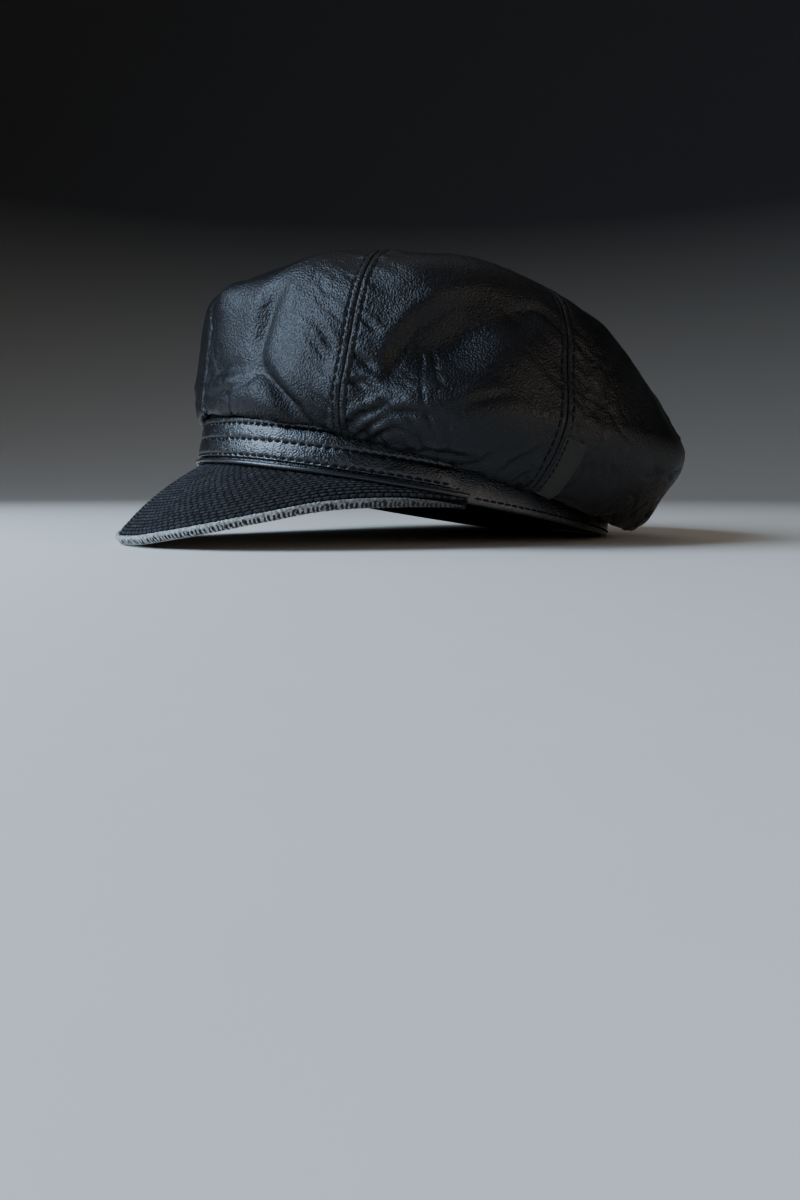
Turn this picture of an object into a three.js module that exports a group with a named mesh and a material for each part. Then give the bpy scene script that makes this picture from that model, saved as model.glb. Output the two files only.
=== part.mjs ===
// A baker boy cap in black leather, lying on a flat surface on the edge of its peak and the back of its
// band. Units are millimetres and +Z is up. The front of the cap faces -Y and the wearer's left is +X.
// The origin is on the surface, under the middle of the cap.
import * as THREE from "three";
import { mergeVertices } from "three/addons/utils/BufferGeometryUtils.js";

// The cap is made in its own frame first, with the rim's plane at height 0, and is then laid on the
// surface. The rim is an ellipse, the outer face of the band. It fits a head of about 58 cm.
const RIM_HALF_WIDTH = 83;
const RIM_HALF_LENGTH = 101;

// Pieces that touch on the real cap keep this gap.
const GAP = 0.4;

// The leather band, the sweatband inside it, and the strap over its front.
const BAND_HEIGHT = 24;
const BAND_THICKNESS = 1.8;
const BAND_STEPS = 72;
const SWEATBAND_THICKNESS = 1.3;
const SWEATBAND_BOTTOM = 0.9;
const SWEATBAND_TOP = 31;
const SWEATBAND_SURFACE_GAP = 0.3;
const SWEATBAND_STEPS = 60;
const STRAP_THICKNESS = 1.5;
const STRAP_BOTTOM = 4.6;
const STRAP_TOP = 21;
const STRAP_END_ANGLE = 77;
const STRAP_STEPS = 40;

// The piping between the band and the peak.
const PIPING_RADIUS = 1;
const PIPING_OUT = 2.2;
const PIPING_UP = 2.7;
const PIPING_SIDES = 6;
const PIPING_STEPS = 48;

// The soft band is flattened where it lies: at the back the surface stands this far above the rim's
// plane.
const BACK_FLATTENING = 3.6;

// The peak runs between these angles on both sides of the front. The table gives how far its edge is
// out from the rim and down from the rim's plane, by the angle around the rim's ellipse in degrees.
const PEAK_END_ANGLE = 79;
const PEAK_TABLE = [
  { around: 0, out: 31.0, down: 33.6 },
  { around: 11, out: 30.0, down: 31.8 },
  { around: 20, out: 27.8, down: 28.0 },
  { around: 30, out: 24.0, down: 22.2 },
  { around: 38, out: 19.2, down: 16.4 },
  { around: 50, out: 11.6, down: 7.8 },
  { around: 65, out: 5.6, down: 1.8 },
  { around: 79, out: 2.4, down: -1.0 },
];
const PEAK_SEWN_UP = 1.8;
const PEAK_ARCH = 2.2;
const PEAK_COVER_THICKNESS = 1.8;
const PEAK_UNDERSIDE_THICKNESS = 1.4;
const PEAK_STEPS_ACROSS = 36;
const PEAK_STEPS_OUT = 4;

// The bound edge of the peak, a rounded strip: its corners are square to this power of a circle.
const PEAK_EDGE_HEIGHT = 4.6;
const PEAK_EDGE_WIDTH = 2.6;
const PEAK_EDGE_SIDES = 10;
const PEAK_EDGE_STEPS = 44;
const PEAK_EDGE_SQUARENESS = 0.7;
const PEAK_EDGE_END_ANGLE = 78;

// The crown is eight panels sewn together and gathered into the band. The table has a row for each seam
// from the front round to the back, by its angle in degrees, and the other side mirrors it. It gives
// the fold that hangs over the band, the widest place (belly), the shoulder and the crest, each by its
// way out from the rim and up.
const PANEL_COUNT = 8;
const PANEL_ANGLE = (2 * Math.PI) / PANEL_COUNT;
const PANEL_STEPS_ACROSS = 8;
const PANEL_STEPS_UP = 20;
const CROWN_THICKNESS = 1.6;
const CROWN_SEWN_OUT = 1.2;
const CROWN_TABLE = [
  { seam: 0, foldOut: 4, foldUp: 22.5, bellyOut: 5.5, bellyUp: 39,
    shoulderOut: 1.5, shoulderUp: 71, crestUp: 93 },
  { seam: 45, foldOut: 7, foldUp: 17.5, bellyOut: 16.5, bellyUp: 37,
    shoulderOut: 3.5, shoulderUp: 84, crestUp: 97 },
  { seam: 90, foldOut: 11, foldUp: 9.5, bellyOut: 26.5, bellyUp: 37,
    shoulderOut: 9, shoulderUp: 82, crestUp: 97 },
  { seam: 135, foldOut: 11, foldUp: 4, bellyOut: 26.5, bellyUp: 43,
    shoulderOut: 3.5, shoulderUp: 71, crestUp: 93.5 },
  { seam: 180, foldOut: 9, foldUp: 12, bellyOut: 18, bellyUp: 49,
    shoulderOut: 1.5, shoulderUp: 64, crestUp: 90 },
];
// Between the fold and the belly the line passes these shares of the way out and up.
const LOWER_BELLY_OUT_SHARE = 0.75;
const LOWER_BELLY_UP_SHARE = 0.4;
// The crest is this share of the way from the axis to the rim, and the top is on the axis.
const CREST_SCALE = 0.5;
const CROWN_TOP_UP = 98;
// The panels end just short of the axis, under the button.
const PANEL_END_ALONG = 0.975;

// Each panel swells by this much between its seams.
const PANEL_SWELL = 2.6;
const SWELL_ROUNDNESS = 0.8;
const SWELL_END_ALONG = 0.91;
const SWELL_FADE = 0.7;

// Dents and folds in the leather: the angle around in degrees, the share of the way along from the band
// to the top, the half length and half width in millimetres, the lean of the length in degrees, and the
// depth. A negative depth stands out. The ones from 0 to 135 degrees are on the side that the
// photograph shows.
const CROWN_MEAN_RADIUS = 112;
const CROWN_MEAN_LENGTH = 175;
const DENT_TABLE = [
  { around: 24, along: 0.24, long: 15, wide: 6, lean: 80, deep: 2.4 },
  { around: 15, along: 0.13, long: 24, wide: 4.5, lean: 5, deep: 1.8 },
  { around: 31, along: 0.1, long: 15, wide: 4.5, lean: -39, deep: 3 },
  { around: 22, along: 0.07, long: 20, wide: 7, lean: 0, deep: -1.8 },
  { around: 6, along: 0.3, long: 16, wide: 10, lean: 0, deep: -3.4 },
  { around: 65, along: 0.31, long: 28, wide: 9, lean: 38, deep: 6.5 },
  { around: 79, along: 0.41, long: 9, wide: 7, lean: 30, deep: 2.5 },
  { around: 70, along: 0.19, long: 24, wide: 10, lean: 12, deep: -2.6 },
  { around: 56, along: 0.43, long: 22, wide: 11, lean: 20, deep: -2.8 },
  { around: 66, along: 0.09, long: 14, wide: 4, lean: 8, deep: 1.4 },
  { around: 112, along: 0.37, long: 20, wide: 16, lean: -10, deep: 3.2 },
  { around: 128, along: 0.28, long: 20, wide: 11, lean: 0, deep: -4.2 },
  { around: 158, along: 0.31, long: 25, wide: 9, lean: -18, deep: 4.2 },
  { around: -160, along: 0.36, long: 22, wide: 9, lean: 22, deep: 4 },
  { around: -112, along: 0.27, long: 22, wide: 9, lean: -30, deep: 4 },
  { around: -66, along: 0.33, long: 24, wide: 8, lean: -38, deep: 5 },
  { around: -14, along: 0.36, long: 15, wide: 11, lean: 0, deep: -4 },
  { around: -30, along: 0.19, long: 14, wide: 6, lean: 75, deep: 2.6 },
];

// The leather-covered button on the top: its outline from the axis at the base to the axis at the top.
const BUTTON_OUTLINE = [
  { radius: 0, up: 0 },
  { radius: 10.5, up: 0 },
  { radius: 12, up: 1.2 },
  { radius: 11.6, up: 3.2 },
  { radius: 9.4, up: 5.4 },
  { radius: 5.6, up: 6.6 },
  { radius: 0, up: 7 },
];
const BUTTON_SIDES = 24;

// The bare fabric tab sewn along the back of the left seam, from the fold upwards.
const TAB_SEAM_ANGLE = Math.PI / 2;
const TAB_LENGTH = 23;
const TAB_WIDTH = 10;
const TAB_THICKNESS = 0.8;
const TAB_FROM_SEAM = 1.5;
const TAB_START_ALONG = 0.105;
const TAB_STEPS_ACROSS = 4;
const TAB_STEPS_UP = 6;

const DEGREE = Math.PI / 180;

function look(name, color, roughness) {
  return new THREE.MeshStandardMaterial({ name, color, roughness, metalness: 0 });
}

const CROWN_LEATHER = look("crown_leather", 0x16171a, 0.42);
const BAND_LEATHER = look("band_leather", 0x141518, 0.4);
const PIPING_LEATHER = look("piping_leather", 0x1c1d20, 0.3);
const SWEATBAND_LEATHER = look("sweatband_leather", 0x121214, 0.6);
const PEAK_FABRIC = look("peak_fabric", 0x26272a, 0.85);
const EDGE_FABRIC = look("edge_fabric", 0x8d8f92, 0.85);
const UNDERSIDE_FABRIC = look("underside_fabric", 0x0e0e10, 0.9);
const TAB_FABRIC = look("tab_fabric", 0x35372f, 0.8);

// A smooth curve through values at uneven places, with each slope taken from the neighbours.
function smoothThrough(places, values, at) {
  const last = places.length - 1;
  let k = 0;
  while (k < last - 1 && at > places[k + 1]) k += 1;
  const slopeAt = (i) => {
    const low = Math.max(i - 1, 0);
    const high = Math.min(i + 1, last);
    return (values[high] - values[low]) / (places[high] - places[low]);
  };
  const span = places[k + 1] - places[k];
  const s = Math.min(Math.max((at - places[k]) / span, 0), 1);
  const startWeight = 2 * s ** 3 - 3 * s ** 2 + 1;
  const startSlopeWeight = (s ** 3 - 2 * s ** 2 + s) * span;
  const endSlopeWeight = (s ** 3 - s ** 2) * span;
  return startWeight * values[k] + startSlopeWeight * slopeAt(k)
    + (1 - startWeight) * values[k + 1] + endSlopeWeight * slopeAt(k + 1);
}

// A place at an angle around the rim's ellipse, a way out from the rim and a height above its plane.
function rimPlace(angle, out, up) {
  const x = (RIM_HALF_WIDTH + out) * Math.sin(angle);
  const y = -(RIM_HALF_LENGTH + out) * Math.cos(angle);
  return new THREE.Vector3(x, y, up);
}

// A closed solid from loops of points in a row. The row joins into a ring, or has a flat cap at each
// end.
function solidFromLoops(loops, isRing) {
  const size = loops[0].length;
  const positions = loops.flat().flatMap((point) => point.toArray());
  const index = [];
  const bays = isRing ? loops.length : loops.length - 1;
  for (let i = 0; i < bays; i += 1) {
    const here = i * size;
    const next = ((i + 1) % loops.length) * size;
    for (let j = 0; j < size; j += 1) {
      const side = (j + 1) % size;
      index.push(here + j, next + j, next + side);
      index.push(here + j, next + side, here + side);
    }
  }
  if (!isRing) {
    const end = (loops.length - 1) * size;
    for (let j = 0; j < size / 2 - 1; j += 1) {
      const far = size - 1 - j;
      index.push(j, j + 1, far - 1, j, far - 1, far);
      index.push(end + j, end + far - 1, end + j + 1, end + j, end + far, end + far - 1);
    }
  }
  const geometry = new THREE.BufferGeometry();
  geometry.setAttribute("position", new THREE.Float32BufferAttribute(positions, 3));
  geometry.setIndex(index);
  return geometry;
}

// A wall between an outer and an inner surface. Each surface gives the point at a share across and a
// share up.
function wallBetween(outer, inner, stepsAcross, stepsUp, isRing = false) {
  const loops = [];
  const columns = isRing ? stepsAcross : stepsAcross + 1;
  for (let i = 0; i < columns; i += 1) {
    const across = i / stepsAcross;
    const loop = [];
    for (let j = 0; j <= stepsUp; j += 1) loop.push(outer(across, j / stepsUp));
    for (let j = stepsUp; j >= 0; j -= 1) loop.push(inner(across, j / stepsUp));
    loops.push(loop);
  }
  return solidFromLoops(loops, isRing);
}

// Loops at even steps of the angle, the same way on both sides of the front.
function loopsAcrossFront(steps, endAngle, loopAt) {
  const loops = [];
  for (let i = 0; i <= steps; i += 1) {
    loops.push(loopAt(endAngle * DEGREE * ((2 * i) / steps - 1)));
  }
  return loops;
}

function peakColumn(column, angle) {
  const places = PEAK_TABLE.map((row) => row.around);
  const values = PEAK_TABLE.map((row) => row[column]);
  return smoothThrough(places, values, Math.abs(angle) / DEGREE);
}

function peakEdgePlace(angle) {
  return rimPlace(angle, peakColumn("out", angle), -peakColumn("down", angle));
}

// The peak's sheet at one angle: where it is sewn on, where it ends, and the directions out along it
// and square to it.
function peakFrame(angle) {
  const step = 0.01;
  const edge = peakEdgePlace(angle);
  const sewn = rimPlace(angle, GAP, PEAK_SEWN_UP);
  const outward = edge.clone().sub(sewn).normalize();
  const sideways = peakEdgePlace(angle + step).sub(peakEdgePlace(angle - step)).normalize();
  const normal = new THREE.Vector3().crossVectors(sideways, outward).normalize();
  if (normal.z < 0) normal.negate();
  return { edge, sewn, outward, normal };
}

function peakPlace(across, outShare, depth) {
  const angle = (2 * across - 1) * PEAK_END_ANGLE * DEGREE;
  const { edge, sewn, normal } = peakFrame(angle);
  const start = sewn.clone();
  start.z -= depth / normal.z;
  const end = edge.clone().addScaledVector(normal, -depth);
  const arch = PEAK_ARCH * Math.cos(angle) * 4 * outShare * (1 - outShare);
  return start.lerp(end, outShare).addScaledVector(normal, arch);
}

function peakSheet(depth, thickness) {
  const top = (across, outShare) => peakPlace(across, outShare, depth);
  const bottom = (across, outShare) => peakPlace(across, outShare, depth + thickness);
  return wallBetween(bottom, top, PEAK_STEPS_ACROSS, PEAK_STEPS_OUT);
}

function peakCover() {
  return peakSheet(0, PEAK_COVER_THICKNESS);
}

function peakUnderside() {
  return peakSheet(PEAK_COVER_THICKNESS + GAP, PEAK_UNDERSIDE_THICKNESS);
}

function squared(value) {
  return Math.sign(value) * Math.abs(value) ** PEAK_EDGE_SQUARENESS;
}

function peakEdgeLoop(angle) {
  const { edge, outward, normal } = peakFrame(angle);
  const sheetDepth = PEAK_COVER_THICKNESS + GAP + PEAK_UNDERSIDE_THICKNESS;
  const middle = edge.clone()
    .addScaledVector(normal, -sheetDepth / 2)
    .addScaledVector(outward, GAP + PEAK_EDGE_WIDTH / 2);
  const loop = [];
  for (let k = 0; k < PEAK_EDGE_SIDES; k += 1) {
    const turn = (2 * Math.PI * (k + 0.5)) / PEAK_EDGE_SIDES;
    loop.push(middle.clone()
      .addScaledVector(outward, (squared(Math.cos(turn)) * PEAK_EDGE_WIDTH) / 2)
      .addScaledVector(normal, (squared(Math.sin(turn)) * PEAK_EDGE_HEIGHT) / 2));
  }
  return loop;
}

const peakEdgeLoops = loopsAcrossFront(PEAK_EDGE_STEPS, PEAK_EDGE_END_ANGLE, peakEdgeLoop);

// The surface that the cap lies on, seen from the cap's own frame: a slope that touches the lowest
// place of the peak's edge and the flattened back of the band.
const restSlope = Math.max(...peakEdgeLoops.flat().map(
  (point) => (BACK_FLATTENING - point.z) / (RIM_HALF_LENGTH - point.y),
));

function surfaceHeight(y) {
  return BACK_FLATTENING + (y - RIM_HALF_LENGTH) * restSlope;
}

// A ring or strip that stands upright on the rim's ellipse, cut off at the bottom by the surface.
function uprightStrip({ out, thickness, bottom, top, surfaceGap, steps, endAngle }) {
  const isRing = endAngle === 180;
  const face = (faceOut) => (across, up) => {
    const place = rimPlace((2 * across - 1) * endAngle * DEGREE, faceOut, 0);
    const low = Math.max(bottom, surfaceHeight(place.y) + surfaceGap);
    return place.setZ(low + (top - low) * up);
  };
  return wallBetween(face(out), face(out - thickness), steps, 1, isRing);
}

function band() {
  return uprightStrip({
    out: 0,
    thickness: BAND_THICKNESS,
    bottom: 0,
    top: BAND_HEIGHT,
    surfaceGap: 0,
    steps: BAND_STEPS,
    endAngle: 180,
  });
}

function sweatband() {
  return uprightStrip({
    out: -BAND_THICKNESS - GAP,
    thickness: SWEATBAND_THICKNESS,
    bottom: SWEATBAND_BOTTOM,
    top: SWEATBAND_TOP,
    surfaceGap: SWEATBAND_SURFACE_GAP,
    steps: SWEATBAND_STEPS,
    endAngle: 180,
  });
}

function frontStrap() {
  return uprightStrip({
    out: GAP + STRAP_THICKNESS,
    thickness: STRAP_THICKNESS,
    bottom: STRAP_BOTTOM,
    top: STRAP_TOP,
    surfaceGap: 0,
    steps: STRAP_STEPS,
    endAngle: STRAP_END_ANGLE,
  });
}

function piping() {
  const loopAt = (angle) => {
    const loop = [];
    for (let k = 0; k < PIPING_SIDES; k += 1) {
      const turn = (2 * Math.PI * (k + 0.5)) / PIPING_SIDES;
      const out = PIPING_OUT + PIPING_RADIUS * Math.cos(turn);
      loop.push(rimPlace(angle, out, PIPING_UP + PIPING_RADIUS * Math.sin(turn)));
    }
    return loop;
  };
  return solidFromLoops(loopsAcrossFront(PIPING_STEPS, PEAK_END_ANGLE, loopAt), false);
}

// How far the rim is from the cap's axis in one direction.
function rimRadius(angle) {
  return 1 / Math.hypot(Math.sin(angle) / RIM_HALF_WIDTH, Math.cos(angle) / RIM_HALF_LENGTH);
}

// A column of the crown's table at any angle, mirrored from side to side and smooth over the front and
// the back.
function crownColumn(column, angle) {
  const turn = Math.abs(Math.atan2(Math.sin(angle), Math.cos(angle)));
  const rows = [CROWN_TABLE[1], ...CROWN_TABLE, CROWN_TABLE.at(-2)];
  const places = rows.map((row, i) => (i - 1) * PANEL_ANGLE);
  return smoothThrough(places, rows.map((row) => row[column]), turn);
}

// The crown's line from the band to the top at one angle. Each knot has a share of the rim's radius, a
// way out from there and a height. The lengths along the line are kept with it.
const crownLines = new Map();
function crownLine(angle) {
  const key = angle.toFixed(6);
  if (crownLines.has(key)) return crownLines.get(key);
  const column = (name) => crownColumn(name, angle);
  const lowerOut = column("foldOut") + (column("bellyOut") - column("foldOut")) * LOWER_BELLY_OUT_SHARE;
  const lowerUp = column("foldUp") + (column("bellyUp") - column("foldUp")) * LOWER_BELLY_UP_SHARE;
  const knots = [
    [1, CROWN_SEWN_OUT, BAND_HEIGHT + GAP],
    [1, column("foldOut"), column("foldUp")],
    [1, lowerOut, lowerUp],
    [1, column("bellyOut"), column("bellyUp")],
    [1, column("shoulderOut"), column("shoulderUp")],
    [CREST_SCALE, 0, column("crestUp")],
    [0, 0, CROWN_TOP_UP],
  ];
  const radii = knots.map(([scale, out]) => scale * rimRadius(angle) + out);
  const lengths = [0];
  for (let i = 1; i < knots.length; i += 1) {
    lengths.push(lengths[i - 1] + Math.hypot(radii[i] - radii[i - 1], knots[i][2] - knots[i - 1][2]));
  }
  const line = { radii, heights: knots.map((knot) => knot[2]), lengths };
  crownLines.set(key, line);
  return line;
}

function smoothCrown(angle, along) {
  const { radii, heights, lengths } = crownLine(angle);
  const at = along * lengths.at(-1);
  const radius = smoothThrough(lengths, radii, at);
  const up = smoothThrough(lengths, heights, at);
  return new THREE.Vector3(radius * Math.sin(angle), -radius * Math.cos(angle), up);
}

// How far the leather stands out of the smooth crown: the panels swell between their seams, and the
// dents go in.
function crownRelief(angle, along) {
  const share = (((angle % PANEL_ANGLE) + PANEL_ANGLE) % PANEL_ANGLE) / PANEL_ANGLE;
  const swellAcross = (4 * share * (1 - share)) ** SWELL_ROUNDNESS;
  const swellAlong = Math.sin(Math.PI * Math.min(along / SWELL_END_ALONG, 1)) ** SWELL_FADE;
  let relief = PANEL_SWELL * swellAcross * swellAlong;
  for (const dent of DENT_TABLE) {
    const turn = angle - dent.around * DEGREE;
    const lean = dent.lean * DEGREE;
    const x = Math.atan2(Math.sin(turn), Math.cos(turn)) * CROWN_MEAN_RADIUS;
    const y = (along - dent.along) * CROWN_MEAN_LENGTH;
    const lengthwise = (x * Math.cos(lean) + y * Math.sin(lean)) / dent.long;
    const crosswise = (y * Math.cos(lean) - x * Math.sin(lean)) / dent.wide;
    relief -= dent.deep * Math.exp(-(lengthwise ** 2) - crosswise ** 2);
  }
  return relief;
}

// A point of the crown's leather, moved in by a depth square to the smooth crown.
function crownPoint(angle, along, depth) {
  const step = 0.004;
  const sideAlong = Math.min(along, PANEL_END_ALONG);
  const below = smoothCrown(angle, Math.max(along - step, 0));
  const upward = smoothCrown(angle, Math.min(along + step, 1)).sub(below);
  const sideways = smoothCrown(angle + step, sideAlong).sub(smoothCrown(angle - step, sideAlong));
  const normal = new THREE.Vector3().crossVectors(sideways, upward).normalize();
  return smoothCrown(angle, along).addScaledVector(normal, crownRelief(angle, along) - depth);
}

function crownPanel(number) {
  const start = PANEL_ANGLE * number;
  const face = (depth) => (across, up) => {
    const along = up * PANEL_END_ALONG;
    const { x, y } = smoothCrown(start, along);
    const trim = GAP / 2 / Math.hypot(x, y);
    return crownPoint(start + trim + (PANEL_ANGLE - 2 * trim) * across, along, depth);
  };
  return wallBetween(face(0), face(CROWN_THICKNESS), PANEL_STEPS_ACROSS, PANEL_STEPS_UP);
}

function button() {
  const outline = BUTTON_OUTLINE.map(({ radius, up }) => new THREE.Vector2(radius, up));
  const geometry = new THREE.LatheGeometry(outline, BUTTON_SIDES).rotateX(Math.PI / 2);
  geometry.deleteAttribute("normal");
  geometry.deleteAttribute("uv");
  return mergeVertices(geometry, 0.001);
}

function labelTab() {
  const shareLength = TAB_LENGTH / crownLine(TAB_SEAM_ANGLE).lengths.at(-1);
  const face = (lift) => (across, up) => {
    const along = TAB_START_ALONG + up * shareLength;
    const angle = TAB_SEAM_ANGLE + (TAB_FROM_SEAM + across * TAB_WIDTH) / CROWN_MEAN_RADIUS;
    return crownPoint(angle, along, -lift);
  };
  return wallBetween(face(GAP + TAB_THICKNESS), face(GAP), TAB_STEPS_ACROSS, TAB_STEPS_UP);
}

const cap = new THREE.Group();

function addPiece(name, geometry, material) {
  const mesh = new THREE.Mesh(geometry, material);
  mesh.name = name;
  cap.add(mesh);
  return mesh;
}

for (let number = 0; number < PANEL_COUNT; number += 1) {
  addPiece(`crown_panel_${number + 1}`, crownPanel(number), CROWN_LEATHER);
}
addPiece("button", button(), CROWN_LEATHER).position.z = CROWN_TOP_UP + GAP;
addPiece("band", band(), BAND_LEATHER);
addPiece("sweatband", sweatband(), SWEATBAND_LEATHER);
addPiece("front_strap", frontStrap(), BAND_LEATHER);
addPiece("piping", piping(), PIPING_LEATHER);
addPiece("peak_cover", peakCover(), PEAK_FABRIC);
addPiece("peak_underside", peakUnderside(), UNDERSIDE_FABRIC);
addPiece("peak_edge", solidFromLoops(peakEdgeLoops, false), EDGE_FABRIC);
addPiece("label_tab", labelTab(), TAB_FABRIC);

// The cap is tilted onto the surface, and the origin goes under its middle.
const restTilt = Math.atan(restSlope);
cap.rotation.x = -restTilt;
cap.position.z = RIM_HALF_LENGTH * Math.sin(restTilt) - BACK_FLATTENING * Math.cos(restTilt);
const group = new THREE.Group();
group.add(cap);
group.updateMatrixWorld(true);
const middle = new THREE.Box3().setFromObject(group, true).getCenter(new THREE.Vector3());
cap.position.x -= middle.x;
cap.position.y -= middle.y;

export default group;
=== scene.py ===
"""The looks of a baker boy cap in black leather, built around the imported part.

Shapes are worked out in the cap's own frame in millimetres, as in the part's source: the rim's plane is at
height 0, the front faces -Y and the wearer's left is +X. They are then laid on the surface in metres.
Angles given as plain numbers are in degrees, and those worked out from pi are in radians. Names with SHARE
or ALONG are parts of a whole, with ALONG of the way up the crown.
"""
import itertools
import math

import bmesh
import bpy
import numpy as np
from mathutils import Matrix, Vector


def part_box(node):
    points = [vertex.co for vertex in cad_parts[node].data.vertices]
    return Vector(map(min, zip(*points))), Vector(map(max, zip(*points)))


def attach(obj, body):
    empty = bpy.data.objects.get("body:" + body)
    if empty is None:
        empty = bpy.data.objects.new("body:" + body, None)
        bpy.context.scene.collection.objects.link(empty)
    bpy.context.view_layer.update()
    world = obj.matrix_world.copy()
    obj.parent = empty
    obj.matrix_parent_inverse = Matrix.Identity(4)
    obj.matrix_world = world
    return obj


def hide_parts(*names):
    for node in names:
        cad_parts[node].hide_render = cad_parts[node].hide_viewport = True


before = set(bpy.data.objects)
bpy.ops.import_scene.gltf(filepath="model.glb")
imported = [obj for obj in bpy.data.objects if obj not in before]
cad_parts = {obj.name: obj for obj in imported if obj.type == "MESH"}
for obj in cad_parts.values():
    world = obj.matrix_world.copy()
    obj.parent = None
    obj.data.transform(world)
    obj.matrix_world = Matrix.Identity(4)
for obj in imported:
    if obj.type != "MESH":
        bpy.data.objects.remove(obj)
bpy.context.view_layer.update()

PER_METRE = 1000
DEGREE = math.pi / 180

# Sizes shared with the part's source, in millimetres
RIM_HALF_WIDTH = 83.0
RIM_HALF_LENGTH = 101.0
RIM_MEAN_RADIUS = (RIM_HALF_WIDTH + RIM_HALF_LENGTH) / 2
GAP = 0.4
BAND_HEIGHT = 24.0
BAND_THICKNESS = 1.8
SWEATBAND_THICKNESS = 1.3
SWEATBAND_BOTTOM = 0.9
SWEATBAND_TOP = 31.0
SWEATBAND_SURFACE_GAP = 0.3
STRAP_THICKNESS = 1.5
STRAP_BOTTOM = 4.6
STRAP_TOP = 21.0
STRAP_END_ANGLE = 77.0
PIPING_RADIUS = 1.0
PIPING_OUT = 2.2
PIPING_UP = 2.7
BACK_FLATTENING = 3.6
PEAK_END_ANGLE = 79.0
PEAK_SEWN_UP = 1.8
PEAK_ARCH = 2.2
PEAK_COVER_THICKNESS = 1.8
PEAK_UNDERSIDE_THICKNESS = 1.4
PEAK_EDGE_HEIGHT = 4.6
PEAK_EDGE_WIDTH = 2.6
PEAK_EDGE_SQUARENESS = 0.7
PEAK_EDGE_END_ANGLE = 78.0
SOLID_EDGE_LOOPS = 45
SOLID_EDGE_SIDES = 10
PEAK_AROUND = [0, 11, 20, 30, 38, 50, 65, 79]
PEAK_OUT = [31.0, 30.0, 27.8, 24.0, 19.2, 11.6, 5.6, 2.4]
PEAK_DOWN = [33.6, 31.8, 28.0, 22.2, 16.4, 7.8, 1.8, -1.0]
PANEL_COUNT = 8
PANEL_ANGLE = 2 * math.pi / PANEL_COUNT
CROWN_THICKNESS = 1.6
CROWN_SEWN_OUT = 1.2
LOWER_BELLY_OUT_SHARE = 0.75
LOWER_BELLY_UP_SHARE = 0.4
CREST_SCALE = 0.5
CROWN_TOP_UP = 98.0
PANEL_END_ALONG = 0.975
PANEL_SWELL = 2.6
SWELL_ROUNDNESS = 0.8
SWELL_END_ALONG = 0.91
SWELL_FADE = 0.7
CROWN_MEAN_RADIUS = 112.0
CROWN_MEAN_LENGTH = 175.0
BUTTON_RADII = [0, 10.5, 12, 11.6, 9.4, 5.6, 0]
BUTTON_UPS = [0, 0, 1.2, 3.2, 5.4, 6.6, 7]
BUTTON_PULL = 0.35
BUTTON_PULL_WIDTH = 3.4
TAB_SEAM_ANGLE = math.pi / 2
TAB_LENGTH = 23.0
TAB_WIDTH = 10.0
TAB_THICKNESS = 0.8
TAB_FROM_SEAM = 1.5
TAB_START_ALONG = 0.105

# The crown's outline at its seams 0, 45, 90, 135 and 180 degrees round, in millimetres out from the rim and
# up from its plane
CROWN_OUTLINE = {
    "fold_out": [4, 7, 11, 11, 9],
    "fold_up": [22.5, 17.5, 9.5, 4, 12],
    "belly_out": [5.5, 16.5, 26.5, 26.5, 18],
    "belly_up": [39, 37, 37, 43, 49],
    "shoulder_out": [1.5, 3.5, 9, 3.5, 1.5],
    "shoulder_up": [71, 84, 82, 71, 64],
    "crest_up": [93, 97, 97, 93.5, 90],
}

# Soft dents, or bulges where the depth is below 0: degrees around, share along, length, width, lean in
# degrees, and depth
DENTS = [
    (24, 0.24, 15, 6, 80, 2.4),
    (15, 0.13, 24, 4.5, 5, 1.8),
    (31, 0.1, 15, 4.5, -39, 3),
    (22, 0.07, 20, 7, 0, -1.8),
    (6, 0.3, 16, 10, 0, -3.4),
    (65, 0.31, 28, 9, 38, 6.5),
    (79, 0.41, 9, 7, 30, 2.5),
    (70, 0.19, 24, 10, 12, -2.6),
    (56, 0.43, 22, 11, 20, -2.8),
    (66, 0.09, 14, 4, 8, 1.4),
    (112, 0.37, 20, 16, -10, 3.2),
    (128, 0.28, 20, 11, 0, -4.2),
    (158, 0.31, 25, 9, -18, 4.2),
    (-160, 0.36, 22, 9, 22, 4),
    (-112, 0.27, 22, 9, -30, 4),
    (-66, 0.33, 24, 8, -38, 5),
    (-14, 0.36, 15, 11, 0, -4),
    (-30, 0.19, 14, 6, 75, 2.6),
]

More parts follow.
